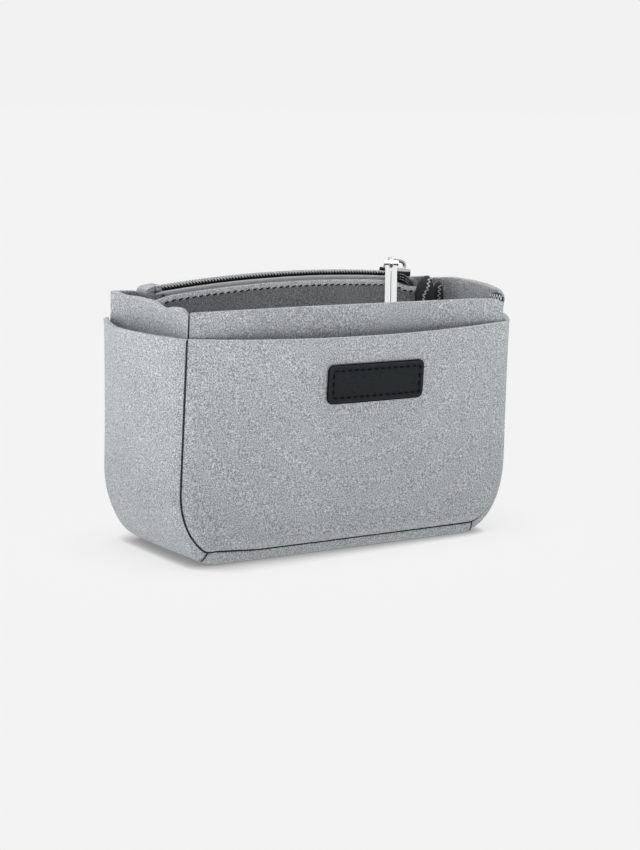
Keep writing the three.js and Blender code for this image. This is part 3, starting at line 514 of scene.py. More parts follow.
def thread_material(name, dark, light):
    """Twisted thread."""
    material, tree, shader = new_material(name, dark, 0.8)
    feed(tree, shader.inputs["Specular IOR Level"], 0.12)
    twist = add_node(tree, "ShaderNodeTexWave", {"bands_direction": "DIAGONAL"}, vector=place_of(tree),
                     scale=520, distortion=1.0).outputs["Fac"]
    feed(tree, shader.inputs["Base Color"], ramp(tree, twist, [(0.2, dark), (0.9, light)]))
    bump(tree, shader, twist, 0.00008, 0.8)
    return material


def metal_material(name, colour):
    """Plated metal with faint smears."""
    material, tree, shader = new_material(name, colour, 0.16, metallic=1.0)
    place = place_of(tree)
    smear = noise(tree, place, 260, detail=4, roughness=0.6)
    feed(tree, shader.inputs["Roughness"], grey_ramp(tree, smear, [(0.3, 0.1), (0.75, 0.26)]))
    tint = ramp(tree, smear, [(0.3, colour), (0.8, tuple(0.93 * c for c in colour))])
    feed(tree, shader.inputs["Base Color"], tint)
    bump(tree, shader, noise(tree, place, 900, detail=3), 0.00002, 0.25)
    return material


# Bounds of the slider's painted shade: lit above a plane sloping along the top plate and right of a place
# along the zip, painted dark elsewhere
SLIDER_SLOPE, SLIDER_PLATE_HEIGHT, SLIDER_BRIGHT_X, SLIDER_BLEND = 0.076, 113.7, 50.2, 0.5


def slider_painted_shade_material(name, low, high):
    """Bright metal on the top plate right of the bar, darkened on the rest as painted shade and painted
    reflection of the dark felt and tape around it.
    """
    material = metal_material(name, high)
    tree = material.node_tree
    place = place_of(tree)
    height = add_node(tree, "ShaderNodeVectorMath", {"operation": "DOT_PRODUCT"})
    feed(tree, height.inputs[0], place)
    feed(tree, height.inputs[1], (SLIDER_SLOPE, 0, 1))
    along = add_node(tree, "ShaderNodeSeparateXYZ", vector=place).outputs["X"]
    above = math_node(tree, "SUBTRACT", height.outputs["Value"], SLIDER_PLATE_HEIGHT * MM)
    beside = math_node(tree, "SUBTRACT", along, SLIDER_BRIGHT_X * MM)
    inside = math_node(tree, "MINIMUM", above, beside)
    share = math_node(tree, "MULTIPLY", inside, 1 / (SLIDER_BLEND * MM))
    feed(tree, tree.nodes["Principled BSDF"].inputs["Base Color"], ramp(tree, share, [(0, low), (1, high)]))
    return material


felt = felt_material("felt", srgb(107, 111, 113), srgb(166, 170, 172), srgb(222, 225, 227))
binding_cloth = woven_material("binding_cloth", srgb(36, 40, 41), srgb(74, 79, 80), 0.55)
tape_cloth = woven_material("tape_cloth", srgb(146, 150, 151), srgb(190, 194, 195), 0.5)
coil_nylon = nylon_material("coil_nylon", srgb(156, 160, 161), srgb(200, 203, 203))
patch_leather = leather_material("patch_leather", srgb(19, 24, 26), srgb(40, 45, 47))
black_thread = thread_material("black_thread", srgb(6, 7, 7), srgb(20, 21, 22))
dark_thread = thread_material("dark_thread", srgb(24, 26, 27), srgb(52, 55, 56))
# Seam thread: real thread, in a dark colour that paints in the shade inside the seams
seam_thread_painted_shade = thread_material("seam_thread_painted_shade", srgb(30, 33, 34), srgb(60, 64, 65))
grey_thread = thread_material("grey_thread", srgb(120, 125, 126), srgb(186, 190, 191))
light_thread = thread_material("light_thread", srgb(186, 189, 190), srgb(236, 238, 238))
metal = metal_material("metal", srgb(246, 246, 247))
shaded_metal = metal_material("shaded_metal", srgb(88, 90, 91))
dark_metal = metal_material("dark_metal", srgb(46, 48, 49))
# Crown in the same plated metal, its colour darkened as painted shade so the arch stands out
crown_metal_painted_shade = metal_material("crown_metal_painted_shade", srgb(214, 215, 216))
# One plated metal for the whole slider, painted dark as shade and reflection everywhere but the lit top plate
# right of the bar
slider_metal_painted_shade = slider_painted_shade_material("slider_metal_painted_shade", srgb(58, 60, 61), srgb(244, 244, 245))


# Felt walls and pockets

WALL_SHARES, END_SHARES = edge_shares(HALF_WIDTH, 36), edge_shares(HALF_DEPTH, 16)


def felt_sheet(name, outer, inner, flat, rests_on, **area):
    """Felt between an outer and an inner face, in place of the solid with its name."""
    sheet = piece(f"felt_{name}", *sheet_between(outer, inner), felt, "felt", stands_for=[name], levels=2)


def both_faces(face, side, layer, top, bow, shares, rows, phase):
    """Outer and inner face of a sheet in a layer."""
    outer_depth, inner_depth, sewn = layer
    return (face(side, outer_depth, sewn, top, bow, shares, *rows, phase),
            face(side, inner_depth, inner_depth, top, bow, shares, *rows, phase))


def wall_sheet(name, side, layer, top, bow, phase, flat, area, rests_on, shares=WALL_SHARES, shape=None):
    faces = both_faces(wall_face, side, layer, top, bow, shares, sheet_rows(), phase)
    felt_sheet(name, *(shape(*faces) if shape else faces), flat, rests_on, area=area)


def end_sheet(name, side, layer, top, bow, phase, flat, rests_on, shape=None):
    rows = sheet_rows(CROSS_SEAM_TURN[side] if layer == OUTER_LAYER else 1.0)
    faces = both_faces(end_face, side, layer, top, bow, END_SHARES, rows, phase)
    felt_sheet(name, *(shape(*faces) if shape else faces), flat, rests_on)


def front_top(x):
    """Top edge of the front panel, rounded off at its right corner."""
    corner = np.clip((x - HALF_WIDTH) / FRONT_RIGHT_RUN + 1, 0, 1)
    return HEIGHT - FRONT_RIM_SINK - FRONT_RIGHT_DROP * corner ** 2


def pocket_mouth(x):
    return MOUTH_HEIGHT - MOUTH_DIP * (1 - np.clip(np.abs(x) / HALF_WIDTH, 0, 1) ** 2)


def end_top(share, corner_drop):
    """Top edge of an end panel, which rises to the back and drops to its front corner."""
    from_front = (1 + share) * HALF_DEPTH
    corner = corner_drop * np.clip(1 - from_front / END_CORNER_RUN, 0, 1) ** 2
    return HEIGHT + END_CREST * (1 - share ** 2) + BACK_CORNER_RISE * (1 + share) / 2 - corner


def left_top(share):
    """Sags before its front corner and before the back."""
    sag = sum(depth * hump(share, place, spread) for depth, place, spread in LEFT_SAGS)
    return end_top(share, LEFT_CORNER_DROP) - sag - LEFT_BROAD_SAG * (1 - share ** 2)


def right_top(share):
    swell = RIGHT_RIM_SWELL * (1 - smoothstep(share, 0.5, 1))
    return end_top(share, RIGHT_CORNER_DROP) + RIGHT_RIM_LIFT + swell


def end_mouth(share):
    """Mouth of an end pocket, which rises to the back."""
    return MOUTH_HEIGHT + 0.5 * smoothstep(share, -1, -0.2) + smoothstep(share, 0.3, 1)


def corner_waist(points):
    """Draws the front right corner in, just above the mouth of the front pocket."""
    x, y, z = points[..., 0], points[..., 1], points[..., 2]
    near = smoothstep(x, 70, 80) * smoothstep(-y, HALF_DEPTH - 14, HALF_DEPTH - 3)
    return moved(points, 0, -WAIST_IN * hump(z, WAIST_Z, WAIST_SPREAD) * near)


def front_corner_waist(outer, inner):
    return corner_waist(outer), corner_waist(inner)


def right_corner_pinch(outer, inner):
    """The right end panel is pressed thin where the front binding is folded against it."""
    near = 1 - smoothstep(HALF_DEPTH + inner[..., 1], 8, 16)
    high = 1 - smoothstep(HEIGHT - inner[..., 2], 2, 16)
    return corner_waist(outer), corner_waist(moved(inner, 0, CORNER_PINCH * near * high))


def back_top(x):
    """Top edge of the back panel: under the zip it follows the tape, beyond its ends it stands up again."""
    past_ends = np.maximum(smoothstep(BACK_LEFT_X - x, 0, 4), smoothstep(x - BACK_RIGHT_X, 0, 5))
    beyond = np.where(x < 0, BACK_LEFT_TOP, BACK_RIGHT_TOP)
    return np.maximum(zip_edge_height(x), lerp(zip_edge_height(x), beyond, past_ends))


ZIP_PANEL_BOW = HALF_DEPTH - ZIP_LAYER[0] - (ZIP_Y - TAPE_OUTER - GAP)


def zip_panel_bow(share, fall, turn):
    steep = 1 - smoothstep(np.abs(share), ZIP_PANEL_STRAIGHT, 1)
    return -ZIP_PANEL_BOW * lerp(steep, 1 - share ** 4, smoothstep(fall, 0.2, 1)) * fade(fall, turn)


def top_lean(below, x):
    """How far the topstitched strip leans back: a shoulder above the stitches, a groove under them."""
    shoulder = STRIP_LEAN * (1 - np.clip(below / TOPSTITCH_DROP, 0, 1))
    groove = 0.35 * hump(below, TOPSTITCH_DROP, 0.7)
    under = smoothstep(below, TOPSTITCH_DROP + 0.2, TOPSTITCH_DROP + 1.3) * (1 - smoothstep(below, 5, 30))
    return (shoulder + groove + 0.4 * under) * smoothstep(HALF_WIDTH - np.abs(x), 8, 16)


def zip_panel_lean(outer, inner):
    """The top strip of the zip panel is pressed thin by the topstitching and leans back to the tape."""
    below = inner[0:1, :, 2] - inner[:, :, 2]
    return outer, moved(inner, 1, top_lean(below, inner[..., 0]))


zip_shares = np.sort(np.concatenate([WALL_SHARES[0], [-0.96, -0.92, -0.88, 0.88, 0.92, 0.96]]))[None, :]
wall_sheet("front_panel", -1, INNER_LAYER, front_top, bowed_wall(FRONT_PANEL_BOW), 0.4,
           (0.1632, 0.0972), 0.0153, ["felt_base_panel"], shape=front_corner_waist)
wall_sheet("front_pocket", -1, OUTER_LAYER, pocket_mouth, bowed_wall(FRONT_POCKET_BOW), POCKET_PHASE,
           (0.1648, 0.0874), 0.0138, ["felt_front_panel"])
wall_sheet("back_panel", 1, INNER_LAYER, back_top, bowed_wall(0), 0.0,
           (0.1632, 0.1018), 0.0161, ["felt_base_panel"])
wall_sheet("back_pocket", 1, OUTER_LAYER, pocket_mouth, bowed_wall(BACK_POCKET_BOW), 2.7,
           (0.1648, 0.0874), 0.0138, ["felt_back_panel"])
wall_sheet("zip_pocket_panel", 1, ZIP_LAYER, zip_edge_height, zip_panel_bow, ZIP_PANEL_PHASE,
           (0.1572, 0.0986), 0.0148, ["felt_back_panel"], shares=zip_shares, shape=zip_panel_lean)
end_sheet("left_end_panel", -1, INNER_LAYER, left_top, PANEL_BOWS[-1], 0.2,
          (0.058, 0.109), ["felt_base_panel"])
end_sheet("left_end_pocket", -1, OUTER_LAYER, end_mouth, POCKET_BOWS[-1], 1.1,
          (0.0603, 0.099), ["felt_left_end_panel"])
end_sheet("right_end_panel", 1, INNER_LAYER, right_top, PANEL_BOWS[1], 2.2,
          (0.06, 0.109), ["felt_base_panel"], shape=right_corner_pinch)
end_sheet("right_end_pocket", 1, OUTER_LAYER, end_mouth, POCKET_BOWS[1], 0.9,
          (0.064, 0.099), ["felt_right_end_panel"])


def base_face(depth, sewn, share, end):
    """Points on the flat middle of the base's face."""
    reach = HALF_DEPTH - sewn - MITRE
    sink = lerp(sewn, depth, smoothstep((1 - np.abs(share)) * reach, 0, EDGE_ROLL))
    return xyz(end * (BASE_HALF - GAP), share * reach, SEAM_LIFT - (base_bow(share) - sink))


def base_grid(depth, sewn):
    """One face of the base from its left cross seam over the floor to its right one."""
    ends = {}
    for side in (-1, 1):
        steps = np.array([0, 0.04, 0.1, 0.3, 0.5, 0.7, 1])[:, None]
        turns = lerp(CROSS_SEAM_TURN[side] + 0.004, 1, steps)
        ends[side] = end_face(side, depth, sewn, end_mouth, POCKET_BOWS[side], END_SHARES,
                              np.ones_like(turns), turns)
    flat = base_face(depth, sewn, END_SHARES, np.linspace(-0.9, 0.9, 15)[:, None])
    return np.concatenate([ends[-1], flat, ends[1][::-1]])


felt_sheet("base_panel", base_grid(OUTER_LAYER[0], OUTER_LAYER[2]), base_grid(0, 0), (0.14, 0.062),
           ["felt_front_pocket"])


# Sewing thread drawn down into the corner seams, dark so that it also paints in the shade of the seam grooves

def seam_path(side, top, lift):
    """Along the left side, the bottom and the right side of the front (side -1) or back seam."""
    fall = np.concatenate([np.linspace(0, 1, 30), np.ones(24)])
    turn = np.concatenate([np.zeros(30), np.linspace(0, 1, 25)[1:]])
    x, z, nx, nz = seam_station(top, fall, turn, (1 + side) / 2)
    half = xyz(x + nx * lift, side * (HALF_DEPTH + lift), z + nz * lift)
    sunk = half - xyz(nx, side, nz) * 0.5 * (1 - smoothstep(turn, 0.5, 0.9))[:, None]
    bottom = xyz(np.linspace(-BASE_HALF, BASE_HALF, 40)[1:-1], *half[-1, 1:])
    return np.concatenate([half * (-1, 1, 1), bottom, sunk[::-1]])


def cross_seam(side, end):
    """Path across the rolled edge of the base (side -1 front) at its left or right end."""
    shares = np.linspace(1, 0.915, 14) * side
    turn = np.full_like(shares, CROSS_SEAM_TURN[end] + 0.002)
    return end_face(end, OUTER_LAYER[0] + 0.1, OUTER_LAYER[2], end_mouth, POCKET_BOWS[end], shares,
                    np.ones_like(shares), turn)


def corner_path(end, side, sunk, low, high):
    """Up a corner of the inner walls, sunk into it."""
    z = np.linspace(low, high, 8)
    return xyz(end * (half_width(z, (1 + side) / 2) - sunk), side * (HALF_DEPTH - sunk), z)


for side, name in ((-1, "front"), (1, "back")):
    path = seam_path(side, MOUTH_HEIGHT - 0.4, 0.62)
    piece(f"seam_thread_painted_shade_{name}", *tube(path, SEAM_THREAD), seam_thread_painted_shade, "binding")
for end, name, sunk, high in ((-1, "left", 0.4, HEIGHT - 1.6), (1, "right", 0.9, HEIGHT - 4)):
    front_corner = tube(corner_waist(corner_path(end, -1, sunk, MOUTH_HEIGHT, high)), FRONT_CORNER_THREAD)
    back_corner = tube(corner_path(end, 1, 1.5, MOUTH_HEIGHT - 6, HEIGHT + 0.8), BACK_CORNER_THREAD)
    piece(f"corner_thread_{name}", *join([front_corner, back_corner]), seam_thread_painted_shade, "binding")
    ticks = [tube(cross_seam(side, end), CROSS_SEAM_THREAD) for side in (-1, 1)]
    piece(f"cross_seam_thread_{name}", *join(ticks), seam_thread_painted_shade, "binding")


# Bound seam allowances inside the corners

def binding_point(side, end, off, depth, top, fall, turn, wall_bow, wall_depth):
    """Point at distances off and depth from the inner faces of the end panel and of the wall."""
    seam_x, seam_z, nx, nz = seam_station(top, fall, turn, (1 + side) / 2)
    inset = INNER_FACE + off
    share = (1 - nx * inset / seam_x) * (1 - turn)
    low_z = seam_z - nz * inset
    at_fall, at_turn = (top - low_z) / (top - CORNER_TOP), 0.0
    if low_z <= CORNER_TOP:
        at_fall, at_turn = 1.0, math.asin(min(1, (CORNER_TOP - low_z) / CORNER_RISE)) * 2 / math.pi
    y = side * (HALF_DEPTH - wall_depth - depth + wall_bow(share, at_fall, at_turn))
    reach = HALF_DEPTH - INNER_FACE - MITRE
    x, z, nx, nz = seam_station(top, fall, turn, (1 + y / reach) / 2)
    out = PANEL_BOWS[end](y / reach, fall, turn) - inset
    return np.array([end * (x + nx * out), y, z + nz * out], float)


def tip_size(below, taper):
    """Share of its full size that a binding has, a distance below its rounded tip."""
    return math.sqrt(max(0.02, 1 - max(0, 1 - below / taper) ** 2))


def binding(name, side, section, tops, wall_bow, wall_depth, taper):
    """Tape folded over the allowance; its section narrows to a rounded tip at both top ends."""
    drops = np.concatenate([[0, 0.4, 1, 2, 3.5, 5.5, 8], np.linspace(11, STRAIGHT, 14)])
    rows = [(drop / STRAIGHT, 0.0) for drop in drops] + [(1.0, turn) for turn in np.linspace(0, 1, 15)[1:]]
    rings = {-1: [], 1: []}
    for end in (-1, 1):
        for fall, turn in rows:
            below = fall * STRAIGHT
            corners = np.array(section(end, below))
            middle = corners.mean(axis=0)
            corners = middle + (corners - middle) * tip_size(below, taper)
            rings[end].append([binding_point(side, end, *corner, tops[end], fall, turn, wall_bow, wall_depth)
                               for corner in corners])
    piece(f"bound_{name}", *loft(rings[-1] + rings[1][::-1]), binding_cloth, "binding", stands_for=[name])


def rounded_section(centre, along, across, length, thickness):
    """Flat loop of points with round ends, as distances from the two faces."""
    points = []
    for angle in np.arange(20) / 20 * 2 * math.pi:
        flat = np.sign(math.cos(angle)) * abs(math.cos(angle)) ** 0.45 * length / 2
        thick = np.sign(math.sin(angle)) * abs(math.sin(angle)) ** 0.6 * thickness / 2
        points.append(np.array(centre) + np.array(along) * flat + np.array(across) * thick)
    return points


DIAGONAL, ACROSS_CORNER = np.array((1, 1)) / math.sqrt(2), np.array((-1, 1)) / math.sqrt(2)
FRONT_BINDING_TOP, FRONT_BINDING_WIDTH, FRONT_BINDING_THICKNESS = HEIGHT + 1.5, 7.2, 2.4
INSIDE_CORNER, PUSHED_OUT = np.array((3.75, 3.75)), np.array((0.5, 1.0))


def corner_centre(end, below):
    """Middle of the front binding's section, pushed out into the corner at the top of its right end."""
    out = 1 - smoothstep(below, 3, 25) if end > 0 else 0
    return lerp(INSIDE_CORNER, PUSHED_OUT, out)


def corner_section(end, below):
    """Section of the front binding, on the diagonal of the corner."""
    return rounded_section(corner_centre(end, below), DIAGONAL, ACROSS_CORNER, FRONT_BINDING_WIDTH,
                           FRONT_BINDING_THICKNESS)


binding("front_seam_binding", -1, corner_section, {-1: HEIGHT - 1.5, 1: FRONT_BINDING_TOP},
        bowed_wall(FRONT_PANEL_BOW), INNER_FACE, 1.6)

LEAF_CENTRE, LEAF_ALONG, LEAF_OUT = np.array((5.4, 3.2)), np.array((-0.816, 0.578)), np.array((0.578, 0.816))
LEAF_WIDTH, LEAF_THICKNESS, LEAF_TOP, LEAF_LEAN = 8, 3.4, HEIGHT + 5.2, 12.2


def straight_zip_bow(share, fall, turn):
    return zip_panel_bow(np.minimum(share, ZIP_PANEL_STRAIGHT), fall, turn)


def leaf_centre(end, below):
    """Middle of the back binding's section; its right end leans away from the end panel."""
    lean = LEAF_LEAN * (1 - smoothstep(below, 3, 50)) if end > 0 else 0
    return LEAF_CENTRE + (lean, 0)


def leaf_section(end, below):
    return rounded_section(leaf_centre(end, below), LEAF_ALONG, LEAF_OUT, LEAF_WIDTH, LEAF_THICKNESS)


binding("back_seam_binding", 1, leaf_section, {-1: HEIGHT - 2, 1: LEAF_TOP}, straight_zip_bow,
        ZIP_LAYER[1], 9)


def right_back_point(off, depth, top, below):
    """Point in the right back corner, a distance below a top."""
    return binding_point(1, 1, off, depth, top, below / STRAIGHT, 0.0, straight_zip_bow, ZIP_LAYER[1])


# Second flap of the back binding, behind the leaning one; its dark cloth also paints in the shade of the
# corner beside the leaf
FLAP_TOP, FLAP_LENGTH, FLAP_WIDTH, FLAP_THICKNESS = HEIGHT + 2.4, 40, 5, 2.2


def flap_centre(below):
    return np.array((10.2 - 0.12 * below, 2.6))


flap_rings = []
for below in np.concatenate([[0, 0.5, 1.2, 2.5, 4.5], np.linspace(7, FLAP_LENGTH, 10)]):
    size = tip_size(below, 7) * (1 - 0.75 * smoothstep(below, 25, FLAP_LENGTH))
    width, thickness = FLAP_WIDTH * size, FLAP_THICKNESS * size
    corners = rounded_section(flap_centre(below), LEAF_ALONG, LEAF_OUT, width, thickness)
    flap_rings.append([right_back_point(*corner, FLAP_TOP, below) for corner in corners])
piece("bound_back_seam_flap_and_painted_shade", *loft(flap_rings), binding_cloth, "binding")


# Patch with a stitched border

def pocket_front(x, z):
    fall = (MOUTH_HEIGHT - z) / (MOUTH_HEIGHT - CORNER_TOP)
    bow = bowed_wall(FRONT_POCKET_BOW)(x / half_width(z, 0), fall, np.zeros_like(fall))
    return -(HALF_DEPTH + FELT + bow + wave(x, z, POCKET_PHASE))


def patch_loop(inset, lift, count=120):
    """Rounded rectangle inside the patch's outline, a distance in front of the pocket, and its length."""
    half_x, half_z = PATCH_LENGTH / 2 - inset, PATCH_HEIGHT / 2 - inset
    radius = max(PATCH_CORNER - inset, 0.5)
    outline = []
    for quarter, (x_sign, z_sign) in enumerate(((1, 1), (-1, 1), (-1, -1), (1, -1))):
        for angle in np.linspace(0, math.pi / 2, 7) + quarter * math.pi / 2:
            outline.append((x_sign * (half_x - radius) + radius * math.cos(angle),
                            z_sign * (half_z - radius) + radius * math.sin(angle)))
    outline = np.array(outline + outline[:1])
    steps = np.concatenate([[0], np.cumsum(np.linalg.norm(np.diff(outline, axis=0), axis=1))])
    at = np.linspace(0, steps[-1], count, endpoint=False)
    x = PATCH_X + np.interp(at, steps, outline[:, 0])
    z = PATCH_Z + np.interp(at, steps, outline[:, 1])
    return xyz(x, pocket_front(x, z) - GAP - lift, z), steps[-1]


patch_profile = [(0.15, 0), (0, 0.35), (0.06, 0.75), (0.35, 1.08), (0.85, 1.3), (1.35, 1.33), (1.75, 1.2),
                 (2.05, 0.98), (2.4, 0.98), (2.7, 1.12), (3.2, PATCH_THICKNESS), (5, PATCH_THICKNESS)]
patch_rings = [patch_loop(inset, lift)[0] for inset, lift in patch_profile]
piece("leather_label_patch", *loft(patch_rings), patch_leather, "patch", stands_for=["label_patch"])
border, border_run = patch_loop(PATCH_STITCH_INSET, 1.0, 400)
border_headings = unit(np.roll(border, -4, 0) - np.roll(border, 4, 0))
stitch_count = round(border_run / STITCH_PITCH)
stitch_at = (np.arange(stitch_count) * 400 / stitch_count).astype(int)
patch_stitches = stitches(border[stitch_at], border_headings[stitch_at], (0, -1, 0), *PATCH_STITCH)
piece("patch_stitches", *patch_stitches, black_thread, "patch")
# Dark ring round the patch: its dark side wall, and painted shadow where the patch meets the pocket
piece("patch_edge_and_painted_shadow", *tube(patch_loop(-0.05, 0.45)[0], PATCH_EDGE, closed=True), black_thread, "patch")


# Zip tapes, coils and the cords sewn in with them; the cords' black also paints in the shade between the
# coil's turns and under the coil

TAPE_PROFILE = [(TAPE_INNER, -0.25), (3.4, -0.25), (4.1, -0.29), (4.42, -0.45), (4.57, -0.8), (4.6, -1.5),
                (4.6, -3), (4.6, -5.5), (4.6, -8)]
SLIDER_MOUTH = along_at(SLIDER_X + SLIDER_LENGTH / 2 + GAP)
SKIRT_LEFT = along_at(TAB_RIGHT)
TAPE_LEFT = along_at(TAB_RIGHT - TAPE_IN_TAB)
TAPE_TAIL, TAIL_DROP, TAIL_TURN_IN = 6, 4.2, 0.6
CORD_HALF_WIDTH, CORD_HALF_HEIGHT, SEWN_CORD_ACROSS, SEWN_CORD_RADIUS = 1.5, 0.5, 3.0, 0.52


def tape_ring(side, along):
    """Closed section of a tape: flat under the coil, turned down along the felt."""
    skirt = min(1, (along - SKIRT_LEFT) / TAPE_SKIRT, (SLIDER_MOUTH - along) / SLIDER_LENGTH)
    deepest = 0.75 + TAPE_SKIRT * max(0.02 if along < SKIRT_LEFT + 1 else 0.45, skirt)
    tail = max(0, (along - SLIDER_MOUTH) / TAPE_TAIL)
    centre = np.array([(across, max(up, -deepest)) for across, up in TAPE_PROFILE])
    centre[:, 1] -= 0.02 * np.arange(len(centre)) + TAIL_DROP * tail ** 1.6
    centre[:, 0] -= TAIL_TURN_IN * tail * (centre[:, 0] > 3)
    heading = unit(np.gradient(centre, axis=0))
    normal = np.stack([heading[:, 1], -heading[:, 0]], -1) * TAPE_THICKNESS / 2
    section = np.concatenate([centre + normal, (centre - normal)[::-1]])
    return zip_point(along, side * section[:, 0], TAPE_TOP + section[:, 1])


tape_stations = np.concatenate([
    np.linspace(TAPE_LEFT, SKIRT_LEFT + TAPE_SKIRT, 14),
    np.linspace(SKIRT_LEFT + TAPE_SKIRT, SLIDER_MOUTH - SLIDER_LENGTH, 34)[1:],
    np.linspace(SLIDER_MOUTH - SLIDER_LENGTH, SLIDER_MOUTH + TAPE_TAIL, 20)[1:],
])
coil_start, coil_end = along_at(COIL_LEFT) + GAP, along_at(SLIDER_X) - COIL_END_GAP
coil_turns = round((coil_end - coil_start) / COIL_PITCH - 0.5)
coil_advance = (coil_end - coil_start - COIL_WIRE) / (coil_turns + 0.5)
turns = np.arange(coil_turns * 14 + 1) / 14
cord_angle = np.linspace(0, 2 * math.pi, 10, endpoint=False)
cord_up = COIL_LIFT + CORD_HALF_HEIGHT * np.sin(cord_angle)
cord_stations = np.linspace(coil_start + 0.3, coil_end - 0.3, 60)
for side, name in ((-1, "front"), (1, "back")):
    tape = piece(f"woven_zip_tape_{name}", *loft([tape_ring(side, along) for along in tape_stations]),
                 tape_cloth, "zip_tape", stands_for=[f"zip_tape_{name}"])
for side, name in ((-1, "front"), (1, "back")):
    start = coil_start + COIL_WIRE / 2 + (coil_advance / 2 if side > 0 else 0)
    across = side * (COIL_AXIS - COIL_HALF_WIDTH * np.cos(turns * 2 * math.pi))
    up = COIL_LIFT + COIL_HALF_HEIGHT * np.sin(turns * 2 * math.pi)
    coil = tube(zip_point(start + turns * coil_advance, across, up), COIL_WIRE / 2, sides=7)
    piece(f"nylon_zip_coil_{name}", *coil, coil_nylon, "zip_coil", stands_for=[f"zip_coil_{name}"])
    # Core inside the coil and cord sewn beside it: real cords, in black as painted shade in the coil's gaps
    # and under it
    cord_across = side * (COIL_AXIS + CORD_HALF_WIDTH * np.cos(cord_angle))
    cord = loft([zip_point(along, cord_across, cord_up) for along in cord_stations])
    sewn_cord = tube(zip_point(cord_stations, side * SEWN_CORD_ACROSS, TAPE_TOP + 0.5), SEWN_CORD_RADIUS)
    piece(f"zip_cord_and_painted_shade_{name}", *join([cord, sewn_cord]), black_thread, "zip_coil")


# End of the front tape, folded down beside the slider, with the threads along it
FOLD_START, FOLD_LENGTH, FOLD_ACROSS = SLIDER_MOUTH - 8.6, 8.9, (-5.4, -5.62, -5.45, -5.26, -5.24)
THREAD_START, THREAD_LENGTH, THREAD_ACROSS = SLIDER_MOUTH - 7.8, 7.9, -5.68
FOLD_TOP, FOLD_TOP_DROP, FOLD_LOW, FOLD_LOW_DROP = 1.5, 4.4, 2.3, 1.5
fold_share = np.linspace(0, 1, 18)
fold_rings = []
for share in fold_share:
    top = TAPE_TOP + FOLD_TOP - FOLD_TOP_DROP * share ** 2
    low = TAPE_TOP - FOLD_LOW - FOLD_LOW_DROP * share
    fold_up = (low, (low + top) / 2, top, top, low)
    fold_rings.append(zip_point(FOLD_START + FOLD_LENGTH * share, FOLD_ACROSS, fold_up))
piece("zip_tape_end_fold", *loft(fold_rings), dark_thread, "zip_tape")
end_threads = []
for drop, reach in ((0.15, 1.0), (1.15, 0.92), (2.1, 0.8)):
    up = TAPE_TOP + 1.3 - 1.15 * drop - (4.0 - 0.75 * drop) * fold_share ** 1.8
    path = zip_point(THREAD_START + THREAD_LENGTH * reach * fold_share, THREAD_ACROSS, up)
    end_threads.append(tube(path, END_THREAD))
piece("zip_tape_end_threads", *join(end_threads), grey_thread, "zip_tape")


# Felt tab over the left end of the zip, with a bar-tack

def tab_profile():
    """Folded strip, open to the right, as along and up."""
    right = TAB_LENGTH / 2
    slot = right - TAPE_IN_TAB - GAP
    slot_top, slot_bottom = TAPE_TOP + GAP, TAPE_BOTTOM - 0.25 - GAP
    top, bottom = slot_top + FELT, max(slot_bottom - FELT, GAP - FELT_BELOW_CHAIN - FELT_END_DROP)
    fold = (top - bottom) / 2
    back = [(fold - right + fold * math.cos(a), (top + bottom) / 2 + fold * math.sin(a))
            for a in np.linspace(math.pi / 2, math.pi * 1.5, 14)]
    return np.array([(right, top), (right - 3, top), *back, (right - 3, bottom), (right, bottom),
                     (right, slot_bottom), (slot, slot_bottom), (slot, slot_top), (right, slot_top)])


TACK_INSET, TACK_SPAN, TACK_COUNT = 3.2, (-1.4, 1.3), 4
tab_outline = tab_profile()
tab_middle = along_at(TAB_RIGHT) - TAB_LENGTH / 2
tab_rings = []
for across in np.array([-1, -0.97, -0.85, -0.4, 0, 0.4, 0.85, 0.97, 1]) * TAB_HALF_WIDTH:
    pinch = 1 - 0.1 * smoothstep(abs(across), TAB_HALF_WIDTH * 0.8, TAB_HALF_WIDTH)
    tab_rings.append(zip_point(tab_middle + tab_outline[:, 0], across, tab_outline[:, 1] * pinch))
tab = piece("felt_zip_end_tab", *loft(tab_rings), felt, "felt", stands_for=["zip_end_tab"])
bevel(tab, 0.0005)
tack_along = tab_middle + TAB_LENGTH / 2 - TACK_INSET
tack_centres = zip_point(tack_along, -TAB_HALF_WIDTH - 0.02, np.linspace(*TACK_SPAN, TACK_COUNT))
tack = stitches(tack_centres, [(1, 0, 0.3)] * TACK_COUNT, (0, -1, 0), *TACK_STITCH)
piece("tab_bar_tack", *tack, dark_thread, "felt")


# Topstitching along the zip panel

def panel_point(x, below):
    """Point on the zip panel's face, a distance below its top edge."""
    share = x / (half_width(HEIGHT, 1) - ZIP_LAYER[1] - MITRE)
    fall = below / (zip_edge_height(x) - CORNER_TOP)
    face = wall_face(1, ZIP_LAYER[1], ZIP_LAYER[1], zip_edge_height, zip_panel_bow, share, fall,
                     np.zeros_like(fall), ZIP_PANEL_PHASE)
    return moved(face, 1, top_lean(below, face[..., 0]) + TOPSTITCH_SINK)


topstitch_x = np.arange(*TOPSTITCH_SPAN, STITCH_PITCH)
topstitch_centres = panel_point(topstitch_x, np.full_like(topstitch_x, TOPSTITCH_DROP))
topstitch_headings = unit(np.gradient(topstitch_centres, axis=0)) + (0, 0, 0.28)
topstitches = stitches(topstitch_centres, topstitch_headings, (0, -1, 0.15), *TOPSTITCH)
piece("zip_topstitches", *topstitches, dark_thread, "zip_tape")


# Zigzag stitches on the binding at the back right and at the front right

def zigzag(name, points, normal, radius):
    shares = np.linspace(0, 1, 6)
    bend = np.outer(radius * (1.2 - 4 * (shares - 0.5) ** 2), normal)
    shapes = [tube(start + np.outer(shares, end - start) + bend, radius, sides=6)
              for start, end in zip(points[:-1], points[1:])]
    piece(name, *join(shapes), light_thread, "binding")


